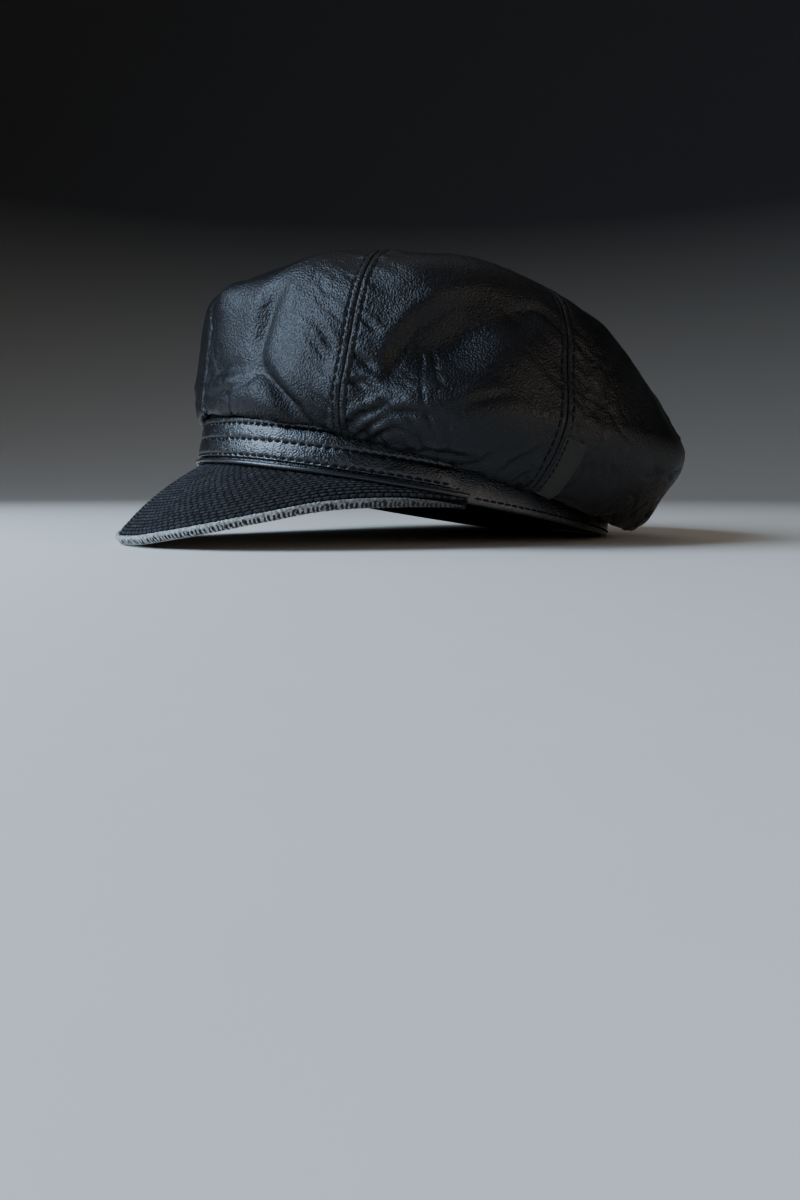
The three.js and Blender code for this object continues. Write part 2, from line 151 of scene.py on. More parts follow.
# Creases, each a path of places (degrees around, share along), with its depth, its width and the height of
# the lip on its upper or left side, in millimetres
CREASES = [
    ([(25, 0.14), (29, 0.12), (32, 0.10), (36, 0.08), (39, 0.05)], 1.6, 2.6, 0.9),
    ([(5, 0.06), (10, 0.07), (17, 0.085), (22, 0.11), (25, 0.14)], 1.2, 2.0, 0.4),
    ([(25, 0.14), (24, 0.18), (24, 0.22), (25, 0.28), (28, 0.34)], 1.1, 3.0, 0.4),
    ([(35, 0.245), (39, 0.215), (42, 0.19)], 0.6, 1.1, 0.3),
    ([(36, 0.275), (40, 0.25), (42, 0.22)], 0.6, 1.1, 0.3),
    ([(46, 0.30), (51, 0.28)], 0.9, 1.0, 0.5),
    ([(46, 0.23), (51, 0.215)], 0.9, 1.0, 0.5),
    ([(46, 0.165), (50, 0.185), (53, 0.18)], 1.0, 1.0, 0.6),
    ([(46, 0.075), (49, 0.11), (52, 0.13), (56, 0.165)], 1.5, 1.2, 0.8),
    ([(49, 0.07), (52, 0.105), (55, 0.13)], 1.1, 0.9, 0.6),
    ([(51, 0.06), (54, 0.095), (57, 0.12)], 1.1, 0.9, 0.6),
    ([(54, 0.19), (55, 0.26), (58, 0.315), (64, 0.375), (71, 0.42)], 1.2, 2.6, 0.9),
    ([(57, 0.06), (62, 0.08), (67, 0.105), (74, 0.12)], 1.4, 1.3, 1.0),
    ([(80, 0.105), (82, 0.14), (87, 0.19)], 0.9, 1.2, 0.5),
    ([(84, 0.09), (87, 0.145)], 0.7, 1.0, 0.4),
    ([(78, 0.43), (84, 0.445), (88, 0.43)], 0.8, 1.6, 0.4),
    ([(53, 0.13), (59, 0.155), (65, 0.17)], 1.1, 1.3, 0.6),
    ([(67, 0.185), (72, 0.22), (78, 0.25)], 0.9, 1.6, 0.6),
    ([(68, 0.07), (75, 0.11), (79, 0.16)], 0.8, 1.4, 0.4),
    ([(97, 0.26), (101, 0.35), (105, 0.43)], 1.2, 3.2, 0.5),
    ([(112, 0.10), (118, 0.14), (126, 0.16)], 0.9, 1.8, 0.5),
    ([(138, 0.33), (147, 0.30), (156, 0.33), (165, 0.38)], 1.2, 2.4, 0.6),
    ([(142, 0.12), (150, 0.15), (160, 0.145)], 1.0, 1.7, 0.5),
    ([(-176, 0.16), (-166, 0.20), (-156, 0.21)], 1.0, 2.0, 0.5),
    ([(-151, 0.10), (-144, 0.15), (-138, 0.22)], 1.1, 2.0, 0.6),
    ([(-131, 0.36), (-122, 0.31), (-113, 0.26), (-104, 0.24)], 1.2, 2.4, 0.6),
    ([(-119, 0.09), (-110, 0.12), (-101, 0.11)], 1.0, 1.5, 0.6),
    ([(-86, 0.27), (-78, 0.23), (-70, 0.245)], 0.9, 1.8, 0.5),
    ([(-80, 0.39), (-71, 0.36), (-62, 0.31), (-56, 0.24)], 1.3, 2.4, 0.8),
    ([(-80, 0.08), (-71, 0.11), (-63, 0.10)], 1.0, 1.4, 0.6),
    ([(-56, 0.09), (-52, 0.13), (-47, 0.16)], 0.9, 1.3, 0.5),
    ([(-40, 0.065), (-33, 0.10), (-27, 0.15), (-24, 0.22)], 1.4, 1.9, 0.8),
    ([(-24, 0.13), (-17, 0.10), (-10, 0.09)], 0.8, 2.0, 0.2),
]

# How far a crease reaches and where its lip lies, in widths of the crease, and the powers of its form
CREASE_REACH = 6
CREASE_END_FADE = 0.6
CREASE_TIP_SHARE = 0.02
CREASE_SHARPNESS = 1.5
LIP_FROM_VALLEY = 2.1
LIP_WIDTH = 1.3

# The ends of the bound edge: from which angles they get thinner and round off, and how much
EDGE_SLIM_ANGLE = 60.0
EDGE_END_SLIMMING = 0.55
EDGE_ROUND_ANGLE = 71.0
EDGE_END_CLOSING = 0.92
EDGE_END_ROUNDNESS = 2.2

# Sewing, in millimetres
SEAM_TRIM = 0.05
SEAM_STITCHED_ALONG = 0.93
SEAM_ROW_OUT = 2.6
SEAM_STITCH_START = 5.0
SEAM_STITCH_PITCH = 3.4
SEAM_GROOVE_DEPTH = 0.4
SEAM_GROOVE_WIDTH = 0.26
SEAM_ALLOWANCE = 0.15
SEAM_ALLOWANCE_FLAT_TO = 1.6
SEAM_FURROW_DEPTH = 0.5
SEAM_FURROW_WIDTH = 0.42
SEAM_FILL = 1.0
SEAM_FILL_WIDTH = 6.0
STRAP_ROWS_UP = [1.2, 7.7, 13.9]
STRAP_STITCH_PITCH = 3.6
STRAP_STITCH_IN_ANGLE = 0.8
STRAP_FURROW_DEPTH = 0.6
STRAP_FURROW_WIDTH = 0.55
STRAP_CHANNEL_HEIGHT = 0.28
STRAP_CHANNEL_SHARE = 0.06
STRAP_PUCKER = 0.3
STRAP_PUCKER_REACH = 1.8
STRAP_THIN_ANGLE = 72.0
STRAP_END_SINK = 1.0
BAND_FREE_ANGLES = (78.0, 83.0)
BAND_GROOVE_UP = 20.5
BAND_GROOVE_DEPTH = 0.3
BAND_GROOVE_WIDTH = 0.6
BAND_STITCH_UP = 2.6
BAND_STITCH_PITCH = 3.4
BAND_FROM_STRAP_ANGLE = 3
SWEATBAND_STITCH_UP = 3.2
SWEATBAND_STITCH_PITCH = 3.6
TAB_CLEAR_ALONG = 0.01
TAB_CLOTH_SHARE = 0.75
TAB_HEM_HEIGHT = 0.25
TAB_HEM_WIDTHS = (0.7, 1.3)
TAB_CURL = 0.3
TAB_STITCH_IN = 1.1
TAB_STITCHED_SHARES = (0.03, 0.94)
TAB_STITCH_SHARE = 0.08
TAB_STITCH_STEP_SHARE = 0.095
THREAD_RADIUS = 0.38
THREAD_SIDES = 6
THREAD_END_SHARE = 0.6
THREAD_FLATNESS = 0.8
STITCH_GAP = 0.35
PULL_SHIFT_RADIANS = 0.3
STITCH_START_SHARE = 0.6
STITCH_SHARES = np.array([0.0, 0.15, 0.5, 0.85, 1.0])
SEAM_STITCH_LIFTS = np.array([-0.5, 0.0, 0.2, 0.0, -0.5])
RIM_STITCH_LIFTS = np.array([-0.5, 0.1, 0.3, 0.1, -0.5])
TAB_STITCH_LIFTS = np.array([-0.3, 0.15, 0.28, 0.15, -0.3])

# The leather's folds, in millimetres
PUCKER_DEPTH = 1.9
FINE_PUCKER_SHARE = 0.4
PUCKER_START = (0.8, 4.0)
PUCKER_REACH = 9.5
PUCKER_SLANT = 0.4
PUCKER_PATCHINESS = 0.6
GATHER_REACH_ALONG = 0.13
GATHER_SLANT = 0.9
FINE_GATHER_SHARE = 0.5
GATHER_FRONT_ANGLES = (25, 55)
GATHER_FRONT_SHARE = 0.45
WIDE_WRINKLE_DEPTH = 0.6
WIDE_WRINKLE_WIDTH = 0.07
FINE_WRINKLE_DEPTH = 0.3
FINE_WRINKLE_WIDTH = 0.1
WRINKLE_TOP_SHARE = 0.35
WRINKLE_TOP_ALONG = (0.14, 0.45)
CRUMPLE_DEPTH = 0.07
TOP_FADE_RADII = (8, 30)
SEWN_FADE_ALONG = 0.03

# The peak's cloth, in millimetres, and the soft borders of the row of ticks on its bound edge, in heights
# from -1 at the edge's foot to 1 at its top
WEAVE_ROW = 1.75
WEAVE_LENGTH = 3.3
WEAVE_HEIGHT = 0.6
WEAVE_FLOOR_SHARE = 0.6
WEAVE_WANDER_SHARE = 0.13
WEAVE_END_SHARPNESS = 5
WEAVE_SIDE_SHARPNESS = 2.4
WEAVE_RIM = 1.2
BINDING_PITCH = 1.8
BINDING_SLANT = 0.35
BINDING_FUZZ_SIZE = 0.9
BINDING_FUZZ_ROUND = 1.7
TICKS_LOWER_BORDER = (-0.85, -0.7)
TICKS_UPPER_BORDER = (0.2, 0.5)
# Towards both ends the bound edge is darker, from the first angle to the second and by this share: painted
# shade, with some wear
SHADED_AND_WORN_ANGLES = (25, 72)
SHADED_AND_WORN_SHARE = 0.8

# The meshes: a panel's steps from its seams, which shrink where it is narrower than so many times the last,
# the room for folds in its wall in millimetres, and counts
PANEL_EDGE_STEPS = [0, 0.25, 0.5, 0.8, 1.1, 1.5, 1.9, 2.2, 2.5, 2.8, 3.1, 3.5, 4.0, 4.6, 5.3, 6.1, 7.0]
PANEL_NARROW_AT = 3.2
PANEL_MIDDLE_STEPS = 80
PANEL_ROWS = 240
PANEL_STRIDE = 4
FOLD_ROOM = 0.8
BUTTON_STEPS = 60
BUTTON_SIDES = 120
PIPING_SIDES = 16
EDGE_SIDES = 20
STRAP_LOOPS = 701
BAND_LOOPS = 540
SWEATBAND_LOOPS = 360
PIPING_LOOPS = 561
EDGE_LOOPS = 1501
STRIP_BEND_STEPS = 6
STRIP_INNER_POINTS = 4
SEAM_SAMPLES = 801
STRAP_SAMPLES = 1501
PEAK_SAMPLES = 1201
ROW_SAMPLES = 1500


def smooth_step(low, high, value):
    share = np.clip((value - low) / (high - low), 0, 1)
    return share * share * (3 - 2 * share)


def bell(distance, width):
    """1 in the middle and falling off on both sides within about the width."""
    return np.exp(-((distance / width) ** 2))


def smooth_through(places, values, at):
    """The part's smooth curve through values at uneven places, for many places at once."""
    shape = (len(at), np.shape(places)[-1])
    places = np.broadcast_to(places, shape)
    values = np.broadcast_to(values, shape)
    last = shape[1] - 1
    k = (at[:, None] > places[:, 1:last]).sum(1)
    rows = np.arange(len(at))

    def slope(i):
        low = np.maximum(i - 1, 0)
        high = np.minimum(i + 1, last)
        return (values[rows, high] - values[rows, low]) / (places[rows, high] - places[rows, low])

    span = places[rows, k + 1] - places[rows, k]
    s = np.clip((at - places[rows, k]) / span, 0, 1)
    start_weight = 2 * s**3 - 3 * s**2 + 1
    return (start_weight * values[rows, k] + (s**3 - 2 * s**2 + s) * span * slope(k)
            + (1 - start_weight) * values[rows, k + 1] + (s**3 - s**2) * span * slope(k + 1))


GRADIENTS = np.array([
    (1, 1, 0), (-1, 1, 0), (1, -1, 0), (-1, -1, 0), (1, 0, 1), (-1, 0, 1), (1, 0, -1), (-1, 0, -1),
    (0, 1, 1), (0, -1, 1), (0, 1, -1), (0, -1, -1), (1, 1, 1), (-1, -1, 1), (1, -1, -1), (-1, 1, -1),
], float)


# Whole numbers that mix the place of a noise cell and the seed into a hash
CELL_PRIMES = np.array([73856093, 19349663, 83492791])
SEED_PRIME = 2654435761
MIX_PRIME = 1274126177
HASH_MASK = 0x7FFFFFFF
NOISE_SLICE = 0.37


def gradient_noise(points, seed):
    """Smooth noise of about -1 to 1 with features one unit apart. Every use has a seed of its own."""
    cell = np.floor(points).astype(np.int64)
    inside = points - cell
    fade = inside**3 * (inside * (inside * 6 - 15) + 10)
    total = np.zeros(len(points))
    for corner in itertools.product((0, 1), repeat=3):
        mixed = np.bitwise_xor.reduce((cell + corner) * CELL_PRIMES, axis=1) ^ (seed * SEED_PRIME)
        mixed = ((mixed ^ (mixed >> 13)) * MIX_PRIME) & HASH_MASK
        slope = GRADIENTS[(mixed >> 11) % len(GRADIENTS)]
        weight = np.prod(np.where(np.array(corner) == 1, fade, 1 - fade), axis=1)
        total += weight * (slope * (inside - corner)).sum(1)
    return total


def flat_noise(u, v, seed, size=(1, 1), shift=0):
    """The noise on a flat slice, with features of a size along u and along v. The shift moves v on."""
    zero = np.zeros_like(u)
    return gradient_noise(np.stack([u / size[0], v / size[1] + shift + zero, NOISE_SLICE + zero], 1), seed)


def unit(vectors):
    return vectors / np.maximum(np.linalg.norm(vectors, axis=-1, keepdims=True), 1e-12)


def wrap(angle):
    """The same direction as an angle between half a turn back and half a turn on."""
    return np.arctan2(np.sin(angle), np.cos(angle))


def sweep(end, count):
    """Angles in radians, from so many degrees on the wearer's right to as many on the left."""
    return np.linspace(-end, end, count) * DEGREE


def turns_of(sides, shift=0.0):
    """The angles of the corners round a loop, moved on by a share of one side."""
    return 2 * math.pi * (np.arange(sides) + shift) / sides


def every_pair(columns, rows):
    """The column and the row of every place of a grid, column by column."""
    return np.repeat(columns, len(rows)), np.tile(rows, len(columns))


def path_lengths(line):
    """The length along a line of points from its first point to each."""
    return np.concatenate([[0], np.cumsum(np.linalg.norm(np.diff(line, axis=0), axis=1))])


# The rim and the peak

def rim_place(angle, out, up):
    return np.stack([
        (RIM_HALF_WIDTH + out) * np.sin(angle),
        -(RIM_HALF_LENGTH + out) * np.cos(angle),
        up + np.zeros_like(angle),
    ], -1)


def peak_edge_place(angle):
    around = np.abs(angle) / DEGREE
    out = smooth_through(PEAK_AROUND, PEAK_OUT, around)
    return rim_place(angle, out, -smooth_through(PEAK_AROUND, PEAK_DOWN, around))


def peak_frame(angle):
    """The peak's edge and sewn line at each angle, with the ways outward and up off the peak."""
    step = 0.01
    edge = peak_edge_place(angle)
    sewn = rim_place(angle, GAP, PEAK_SEWN_UP)
    outward = unit(edge - sewn)
    sideways = unit(peak_edge_place(angle + step) - peak_edge_place(angle - step))
    normal = unit(np.cross(sideways, outward))
    normal *= np.where(normal[:, 2:] < 0, -1, 1)
    return edge, sewn, outward, normal


def peak_place(angle, out_share, depth):
    edge, sewn, _, normal = peak_frame(angle)
    start = sewn.copy()
    start[:, 2] -= depth / normal[:, 2]
    end = edge - normal * np.reshape(depth, (-1, 1))
    arch = PEAK_ARCH * np.cos(angle) * 4 * out_share * (1 - out_share)
    return start + (end - start) * out_share[:, None] + normal * arch[:, None], normal


def peak_edge_loops(angles, turn, raised=0.0):
    """Loops round the bound edge, raised by a relief for each angle round the rim and turn of the loop."""
    edge, _, outward, normal = peak_frame(angles)
    sheet_depth = PEAK_COVER_THICKNESS + GAP + PEAK_UNDERSIDE_THICKNESS
    middle = edge - normal * sheet_depth / 2 + outward * (GAP + PEAK_EDGE_WIDTH / 2)
    across = np.sign(np.cos(turn)) * np.abs(np.cos(turn)) ** PEAK_EDGE_SQUARENESS
    upright = np.sign(np.sin(turn)) * np.abs(np.sin(turn)) ** PEAK_EDGE_SQUARENESS
    around = np.abs(angles) / DEGREE
    slim = 1 - EDGE_END_SLIMMING * smooth_step(EDGE_SLIM_ANGLE, PEAK_EDGE_END_ANGLE, around)
    half_wide = (PEAK_EDGE_WIDTH / 2 + raised) * slim[:, None]
    half_high = (PEAK_EDGE_HEIGHT / 2 + raised) * slim[:, None]
    return (middle[:, None] + outward[:, None] * (across * half_wide)[..., None]
            + normal[:, None] * (upright * half_high)[..., None])


# The surface under the cap, and the way from the cap's own frame to the part's frame
solid_edge = peak_edge_loops(sweep(PEAK_EDGE_END_ANGLE, SOLID_EDGE_LOOPS), turns_of(SOLID_EDGE_SIDES, 0.5))
edge_points = solid_edge.reshape(-1, 3)
REST_SLOPE = ((BACK_FLATTENING - edge_points[:, 2]) / (RIM_HALF_LENGTH - edge_points[:, 1])).max()
REST_TILT = math.atan(REST_SLOPE)
TURN = np.array([
    [1, 0, 0],
    [0, math.cos(REST_TILT), math.sin(REST_TILT)],
    [0, -math.sin(REST_TILT), math.cos(REST_TILT)],
])


def surface_height(y):
    return BACK_FLATTENING + (y - RIM_HALF_LENGTH) * REST_SLOPE


band_low, band_high = (np.array(corner) * PER_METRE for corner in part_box("band"))
band_foot = rim_place(np.linspace(-math.pi, math.pi, 73), 0.0, 0.0)
band_foot[:, 2] = np.maximum(0, surface_height(band_foot[:, 1]))
band_head = band_foot * [1, 1, 0] + [0, 0, BAND_HEIGHT]
band_outline = np.vstack([band_foot, band_head]) @ TURN.T
CAP_AT = (band_low + band_high) / 2 - (band_outline.min(0) + band_outline.max(0)) / 2


def to_part(points):
    """From the cap's own frame in millimetres to the part's frame in metres."""
    return (np.asarray(points) @ TURN.T + CAP_AT) / PER_METRE


# Meshes

def add_object(name, data):
    made = bpy.data.objects.new(name, data)
    bpy.context.scene.collection.objects.link(made)
    return made


def add_mesh(name, points, faces, material):
    mesh = bpy.data.meshes.new(name)
    mesh.from_pydata(to_part(points).tolist(), [], faces)
    work = bmesh.new()
    work.from_mesh(mesh)
    bmesh.ops.recalc_face_normals(work, faces=work.faces)
    work.to_mesh(mesh)
    work.free()
    mesh.polygons.foreach_set("use_smooth", [True] * len(mesh.polygons))
    mesh.materials.append(material)
    mesh.update()
    piece = add_object(name, mesh)
    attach(piece, "root")
    return piece


def dress(piece, node):
    """The piece is shown in place of a solid, which is hidden."""
    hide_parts(node)


def set_values(piece, name, values):
    attribute = piece.data.attributes.new(name, "FLOAT", "POINT")
    attribute.data.foreach_set("value", np.asarray(values, np.float32).ravel())


def loops_faces(count, size, is_ring):
    """Quads between loops of points in a row, with a flat cap at each end unless the row is a ring."""
    bays = count if is_ring else count - 1
    i, j = np.meshgrid(np.arange(bays), np.arange(size), indexing="ij")
    here, after = i * size, ((i + 1) % count) * size
    side = (j + 1) % size
    quads = np.stack([here + j, after + j, after + side, here + side], -1).reshape(-1, 4).tolist()
    if not is_ring:
        quads.append(list(range(size)))
        quads.append(list(range(count * size - 1, (count - 1) * size - 1, -1)))
    return quads


def add_loops(name, loops, material, is_ring=False):
    count, size = loops.shape[:2]
    return add_mesh(name, loops.reshape(-1, 3), loops_faces(count, size, is_ring), material)


def add_shell(name, outer, inner, material, lining, stride):
    """A closed wall between a fine outer grid and an inner one with only every so many rows and columns."""
    count, rows = outer.shape[:2]
    inner_count, inner_rows = inner.shape[:2]
    fine = np.arange(count * rows).reshape(count, rows)
    coarse = count * rows + np.arange(inner_count * inner_rows).reshape(inner_count, inner_rows)
    outside = np.stack([fine[:-1, :-1], fine[1:, :-1], fine[1:, 1:], fine[:-1, 1:]], -1)
    inside = np.stack([coarse[:-1, :-1], coarse[:-1, 1:], coarse[1:, 1:], coarse[1:, :-1]], -1)
    faces = outside.reshape(-1, 4).tolist()
    lined_from = len(faces)
    faces += inside.reshape(-1, 4).tolist()
    lined_to = len(faces)
    borders = [
        (fine[::-1, 0], coarse[::-1, 0]),
        (fine[:, -1], coarse[:, -1]),
        (fine[0], coarse[0]),
        (fine[-1, ::-1], coarse[-1, ::-1]),
    ]
    for long_side, short_side in borders:
        for k in range(len(short_side) - 1):
            span = long_side[k * stride:(k + 1) * stride + 1].tolist()
            faces.append(span + [int(short_side[k + 1]), int(short_side[k])])
    points = np.vstack([outer.reshape(-1, 3), inner.reshape(-1, 3)])
    piece = add_mesh(name, points, faces, material)
    piece.data.materials.append(lining)
    for face in piece.data.polygons[lined_from:lined_to]:
        face.material_index = 1
    return piece


def add_stitches(name, rows, material):
    """Short threads in rows, each row the paths of its stitches (stitch, point, xyz) and their ways up."""
    paths, normals = (np.vstack(parts) for parts in zip(*rows))
    along = unit(np.gradient(paths, axis=1))
    up = np.broadcast_to(normals[:, None], paths.shape)
    sideways = unit(np.cross(along, up))
    up = np.cross(sideways, along)
    turn = turns_of(THREAD_SIDES)
    thick = np.full(paths.shape[1], THREAD_RADIUS)
    thick[[0, -1]] = THREAD_RADIUS * THREAD_END_SHARE
    rings = (paths[:, :, None]
             + sideways[:, :, None] * np.cos(turn)[:, None] * thick[:, None, None]
             + up[:, :, None] * (np.sin(turn) * THREAD_FLATNESS)[:, None] * thick[:, None, None])
    count, length = paths.shape[:2]
    faces = []
    stitch_faces = loops_faces(length, THREAD_SIDES, False)
    for k in range(count):
        shift = k * length * THREAD_SIDES
        faces.extend([[corner + shift for corner in face] for face in stitch_faces])
    add_mesh(name, rings.reshape(-1, 3), faces, material)


def by_stitch(points, normals):
    """Points and normals along a row, set out as one path for each stitch and the way up at its middle."""
    shape = (-1, len(STITCH_SHARES), 3)
    return points.reshape(shape), normals.reshape(shape)[:, 2]


def stitch_places(length, places, start, end, pitch):
    """The place of each point of each stitch in a row, from lengths along the row and the places there."""
    starts = np.arange(start, end, pitch)
    return np.interp(starts[:, None] + STITCH_SHARES * (pitch - STITCH_GAP), length, places)


def stitch_pull(length, start, pitch, least):
    """The least between the stitches of a row and 1 at the middle of each, at lengths along the row."""
    middle = 0.5 - 0.5 * np.cos(2 * np.pi * (length - start) / pitch + PULL_SHIFT_RADIANS)
    return least + (1 - least) * middle


# The crown

def rim_radius(angle):
    return 1 / np.hypot(np.sin(angle) / RIM_HALF_WIDTH, np.cos(angle) / RIM_HALF_LENGTH)


def crown_column(column, angle):
    values = CROWN_OUTLINE[column]
    values = [values[1], *values, values[-2]]
    places = (np.arange(len(values)) - 1) * PANEL_ANGLE
    return smooth_through(places, values, np.abs(wrap(angle)))


def crown_line(angle):
    zero = np.zeros_like(angle)
    rim = rim_radius(angle)
    fold_out, fold_up = crown_column("fold_out", angle), crown_column("fold_up", angle)
    belly_out, belly_up = crown_column("belly_out", angle), crown_column("belly_up", angle)
    radii = np.stack([
        rim + CROWN_SEWN_OUT,
        rim + fold_out,
        rim + fold_out + (belly_out - fold_out) * LOWER_BELLY_OUT_SHARE,
        rim + belly_out,
        rim + crown_column("shoulder_out", angle),
        rim * CREST_SCALE,
        zero,
    ], 1)
    heights = np.stack([
        zero + BAND_HEIGHT + GAP,
        fold_up,
        fold_up + (belly_up - fold_up) * LOWER_BELLY_UP_SHARE,
        belly_up,
        crown_column("shoulder_up", angle),
        crown_column("crest_up", angle),
        zero + CROWN_TOP_UP,
    ], 1)
    steps = np.hypot(np.diff(radii, axis=1), np.diff(heights, axis=1))
    lengths = np.concatenate([zero[:, None], np.cumsum(steps, axis=1)], 1)
    return radii, heights, lengths


def smooth_crown(angle, along):
    radii, heights, lengths = crown_line(angle)
    at = along * lengths[:, -1]
    radius = smooth_through(lengths, radii, at)
    up = smooth_through(lengths, heights, at)
    return np.stack([radius * np.sin(angle), -radius * np.cos(angle), up], 1)


def crown_relief(angle, along):
    """The swell of each panel and the soft dents, the same as in the part's source."""
    share = (angle / PANEL_ANGLE) % 1
    swell_across = (4 * share * (1 - share)) ** SWELL_ROUNDNESS
    swell_along = np.sin(np.pi * np.minimum(along / SWELL_END_ALONG, 1)) ** SWELL_FADE
    relief = PANEL_SWELL * swell_across * swell_along
    for around, along_middle, long, wide, lean_degrees, deep in DENTS:
        lean = lean_degrees * DEGREE
        x = wrap(angle - around * DEGREE) * CROWN_MEAN_RADIUS
        y = (along - along_middle) * CROWN_MEAN_LENGTH
        lengthwise = (x * math.cos(lean) + y * math.sin(lean)) / long
        crosswise = (y * math.cos(lean) - x * math.sin(lean)) / wide
        relief -= deep * np.exp(-(lengthwise**2) - crosswise**2)
    return relief


def beside_path(x, y, corners):
    """How points lie beside a path: the distance, below 0 on its right, and the share travelled along it."""
    ways = np.diff(corners, axis=0)
    sizes = np.linalg.norm(ways, axis=1)
    way_x, way_y = (ways / sizes[:, None]).T[..., None]
    from_x = x - corners[:-1, :1]
    from_y = y - corners[:-1, 1:]
    along = np.clip(from_x * way_x + from_y * way_y, 0, sizes[:, None])
    dx = from_x - way_x * along
    dy = from_y - way_y * along
    distance = np.hypot(dx, dy)
    side = np.where(way_x * dy - way_y * dx >= 0, 1, -1)
    done = np.append(0, np.cumsum(sizes)[:-1])[:, None]
    travel = (done + along) / sizes.sum()
    nearest = distance.argmin(0), np.arange(len(x))
    return (distance * side)[nearest], travel[nearest]


def crease_relief(angle, along):
    """The creases: a narrow valley along each path with a soft lip on one side, fading out at its ends."""
    relief = np.zeros_like(angle)
    for path, deep, wide, lip_height in CREASES:
        around, share = np.array(path, float).T
        middle = around.mean() * DEGREE
        x = wrap(angle - middle) * CROWN_MEAN_RADIUS
        y = along * CROWN_MEAN_LENGTH
        corners = np.stack([(around * DEGREE - middle) * CROWN_MEAN_RADIUS, share * CROWN_MEAN_LENGTH], 1)
        low = corners.min(0) - CREASE_REACH * wide
        high = corners.max(0) + CREASE_REACH * wide
        near = (x > low[0]) & (x < high[0]) & (y > low[1]) & (y < high[1])
        if not near.any():
            continue
        signed, travel = beside_path(x[near], y[near], corners)
        inner = np.clip(travel, CREASE_TIP_SHARE, 1 - CREASE_TIP_SHARE)
        taper = np.sin(np.pi * inner) ** CREASE_END_FADE
        valley = deep * np.exp(-((np.abs(signed) / wide) ** CREASE_SHARPNESS))
        lip = lip_height * bell(signed - LIP_FROM_VALLEY * wide, LIP_WIDTH * wide)
        relief[near] += taper * (lip - valley)
    return relief


def seam_line(number, along):
    return smooth_crown(np.full_like(along, PANEL_ANGLE * number), along)


def seam_radii(number, along):
    return np.hypot(*seam_line(number, along)[:, :2].T)


def seam_lengths(number, along):
    """The length along a seam from its lower end to each share along."""
    fine = np.linspace(0, 1, SEAM_SAMPLES)
    return np.interp(along, fine, path_lengths(seam_line(number, fine)))


def sewing_relief(along, distance, seam):
    """The seams: a filled fold with a groove in its middle, and a furrow under each row of stitches."""
    length = np.zeros_like(along)
    for number in range(PANEL_COUNT):
        beside = seam == number
        length[beside] = seam_lengths(number, along[beside])
    pull = stitch_pull(length, SEAM_STITCH_START, SEAM_STITCH_PITCH, least=0.15)
    groove = -SEAM_GROOVE_DEPTH * bell(distance, SEAM_GROOVE_WIDTH)
    allowance = SEAM_ALLOWANCE * (1 - smooth_step(SEAM_ALLOWANCE_FLAT_TO, SEAM_ROW_OUT, distance))
    furrow = -SEAM_FURROW_DEPTH * pull * bell(distance - SEAM_ROW_OUT, SEAM_FURROW_WIDTH)
    fill = SEAM_FILL * bell(distance, SEAM_FILL_WIDTH)
    return groove + allowance + furrow + fill


def pucker_relief(length, distance, seam, side):
    """Short puckers that run off both sides of the seams."""
    slanted = length + PUCKER_SLANT * side * distance
    pucker = flat_noise(slanted, distance, seed=11, size=(3.7, 18), shift=seam * 5.3 + side * 2.1)
    fine = flat_noise(slanted, distance, seed=12, size=(2.1, 9), shift=seam * 3.7 + side * 1.3)
    patches = flat_noise(length, seam * 2.9 + side, seed=13, size=(34, 1))
    strength = PUCKER_PATCHINESS + PUCKER_PATCHINESS * patches
    fade = smooth_step(*PUCKER_START, distance) * np.exp(-distance / PUCKER_REACH)
    return PUCKER_DEPTH * (pucker + FINE_PUCKER_SHARE * fine) * strength * fade


def gather_relief(angle, along, length):
    """Gathers where the crown is sewn into the band, fainter at the front."""
    around = angle * CROWN_MEAN_RADIUS
    gather = flat_noise(around + GATHER_SLANT * length, length, seed=21, size=(8.5, 42))
    gather += FINE_GATHER_SHARE * flat_noise(around, length, seed=22, size=(4.2, 22))
    beside_front = smooth_step(*GATHER_FRONT_ANGLES, np.abs(wrap(angle)) / DEGREE)
    strength = GATHER_FRONT_SHARE + (1 - GATHER_FRONT_SHARE) * beside_front
    return strength * gather * bell(along, GATHER_REACH_ALONG) * smooth_step(0, SEWN_FADE_ALONG, along)


def wrinkle_relief(along, point):
    """Soft unevenness, wrinkles in patches that are deeper low on the crown, and a fine crumple."""
    soft = 1.25 * gradient_noise(point / 33, seed=31) + 0.75 * gradient_noise(point / 16, seed=32)
    warp = np.stack([gradient_noise(point / 24 + k * 7.7, seed=33) for k in range(3)], 1)
    wide_lines = gradient_noise(point / 14 + warp * 1.1, seed=34)
    fine_lines = gradient_noise(point * [0.13, 0.13, 0.17] + warp * 1.4, seed=37)
    patches = smooth_step(-0.2, 0.35, gradient_noise(point / 36, seed=35))
    fine_patches = smooth_step(-0.1, 0.3, gradient_noise(point / 27 + 3.3, seed=38))
    lower = 1 - (1 - WRINKLE_TOP_SHARE) * smooth_step(*WRINKLE_TOP_ALONG, along)
    wrinkles = -WIDE_WRINKLE_DEPTH * bell(wide_lines, WIDE_WRINKLE_WIDTH) * patches * lower
    wrinkles -= FINE_WRINKLE_DEPTH * bell(fine_lines, FINE_WRINKLE_WIDTH) * fine_patches * lower
    crumple = CRUMPLE_DEPTH * gradient_noise(point / 5.2 + warp * 0.9, seed=36) * (0.4 + patches)
    return soft + wrinkles + crumple


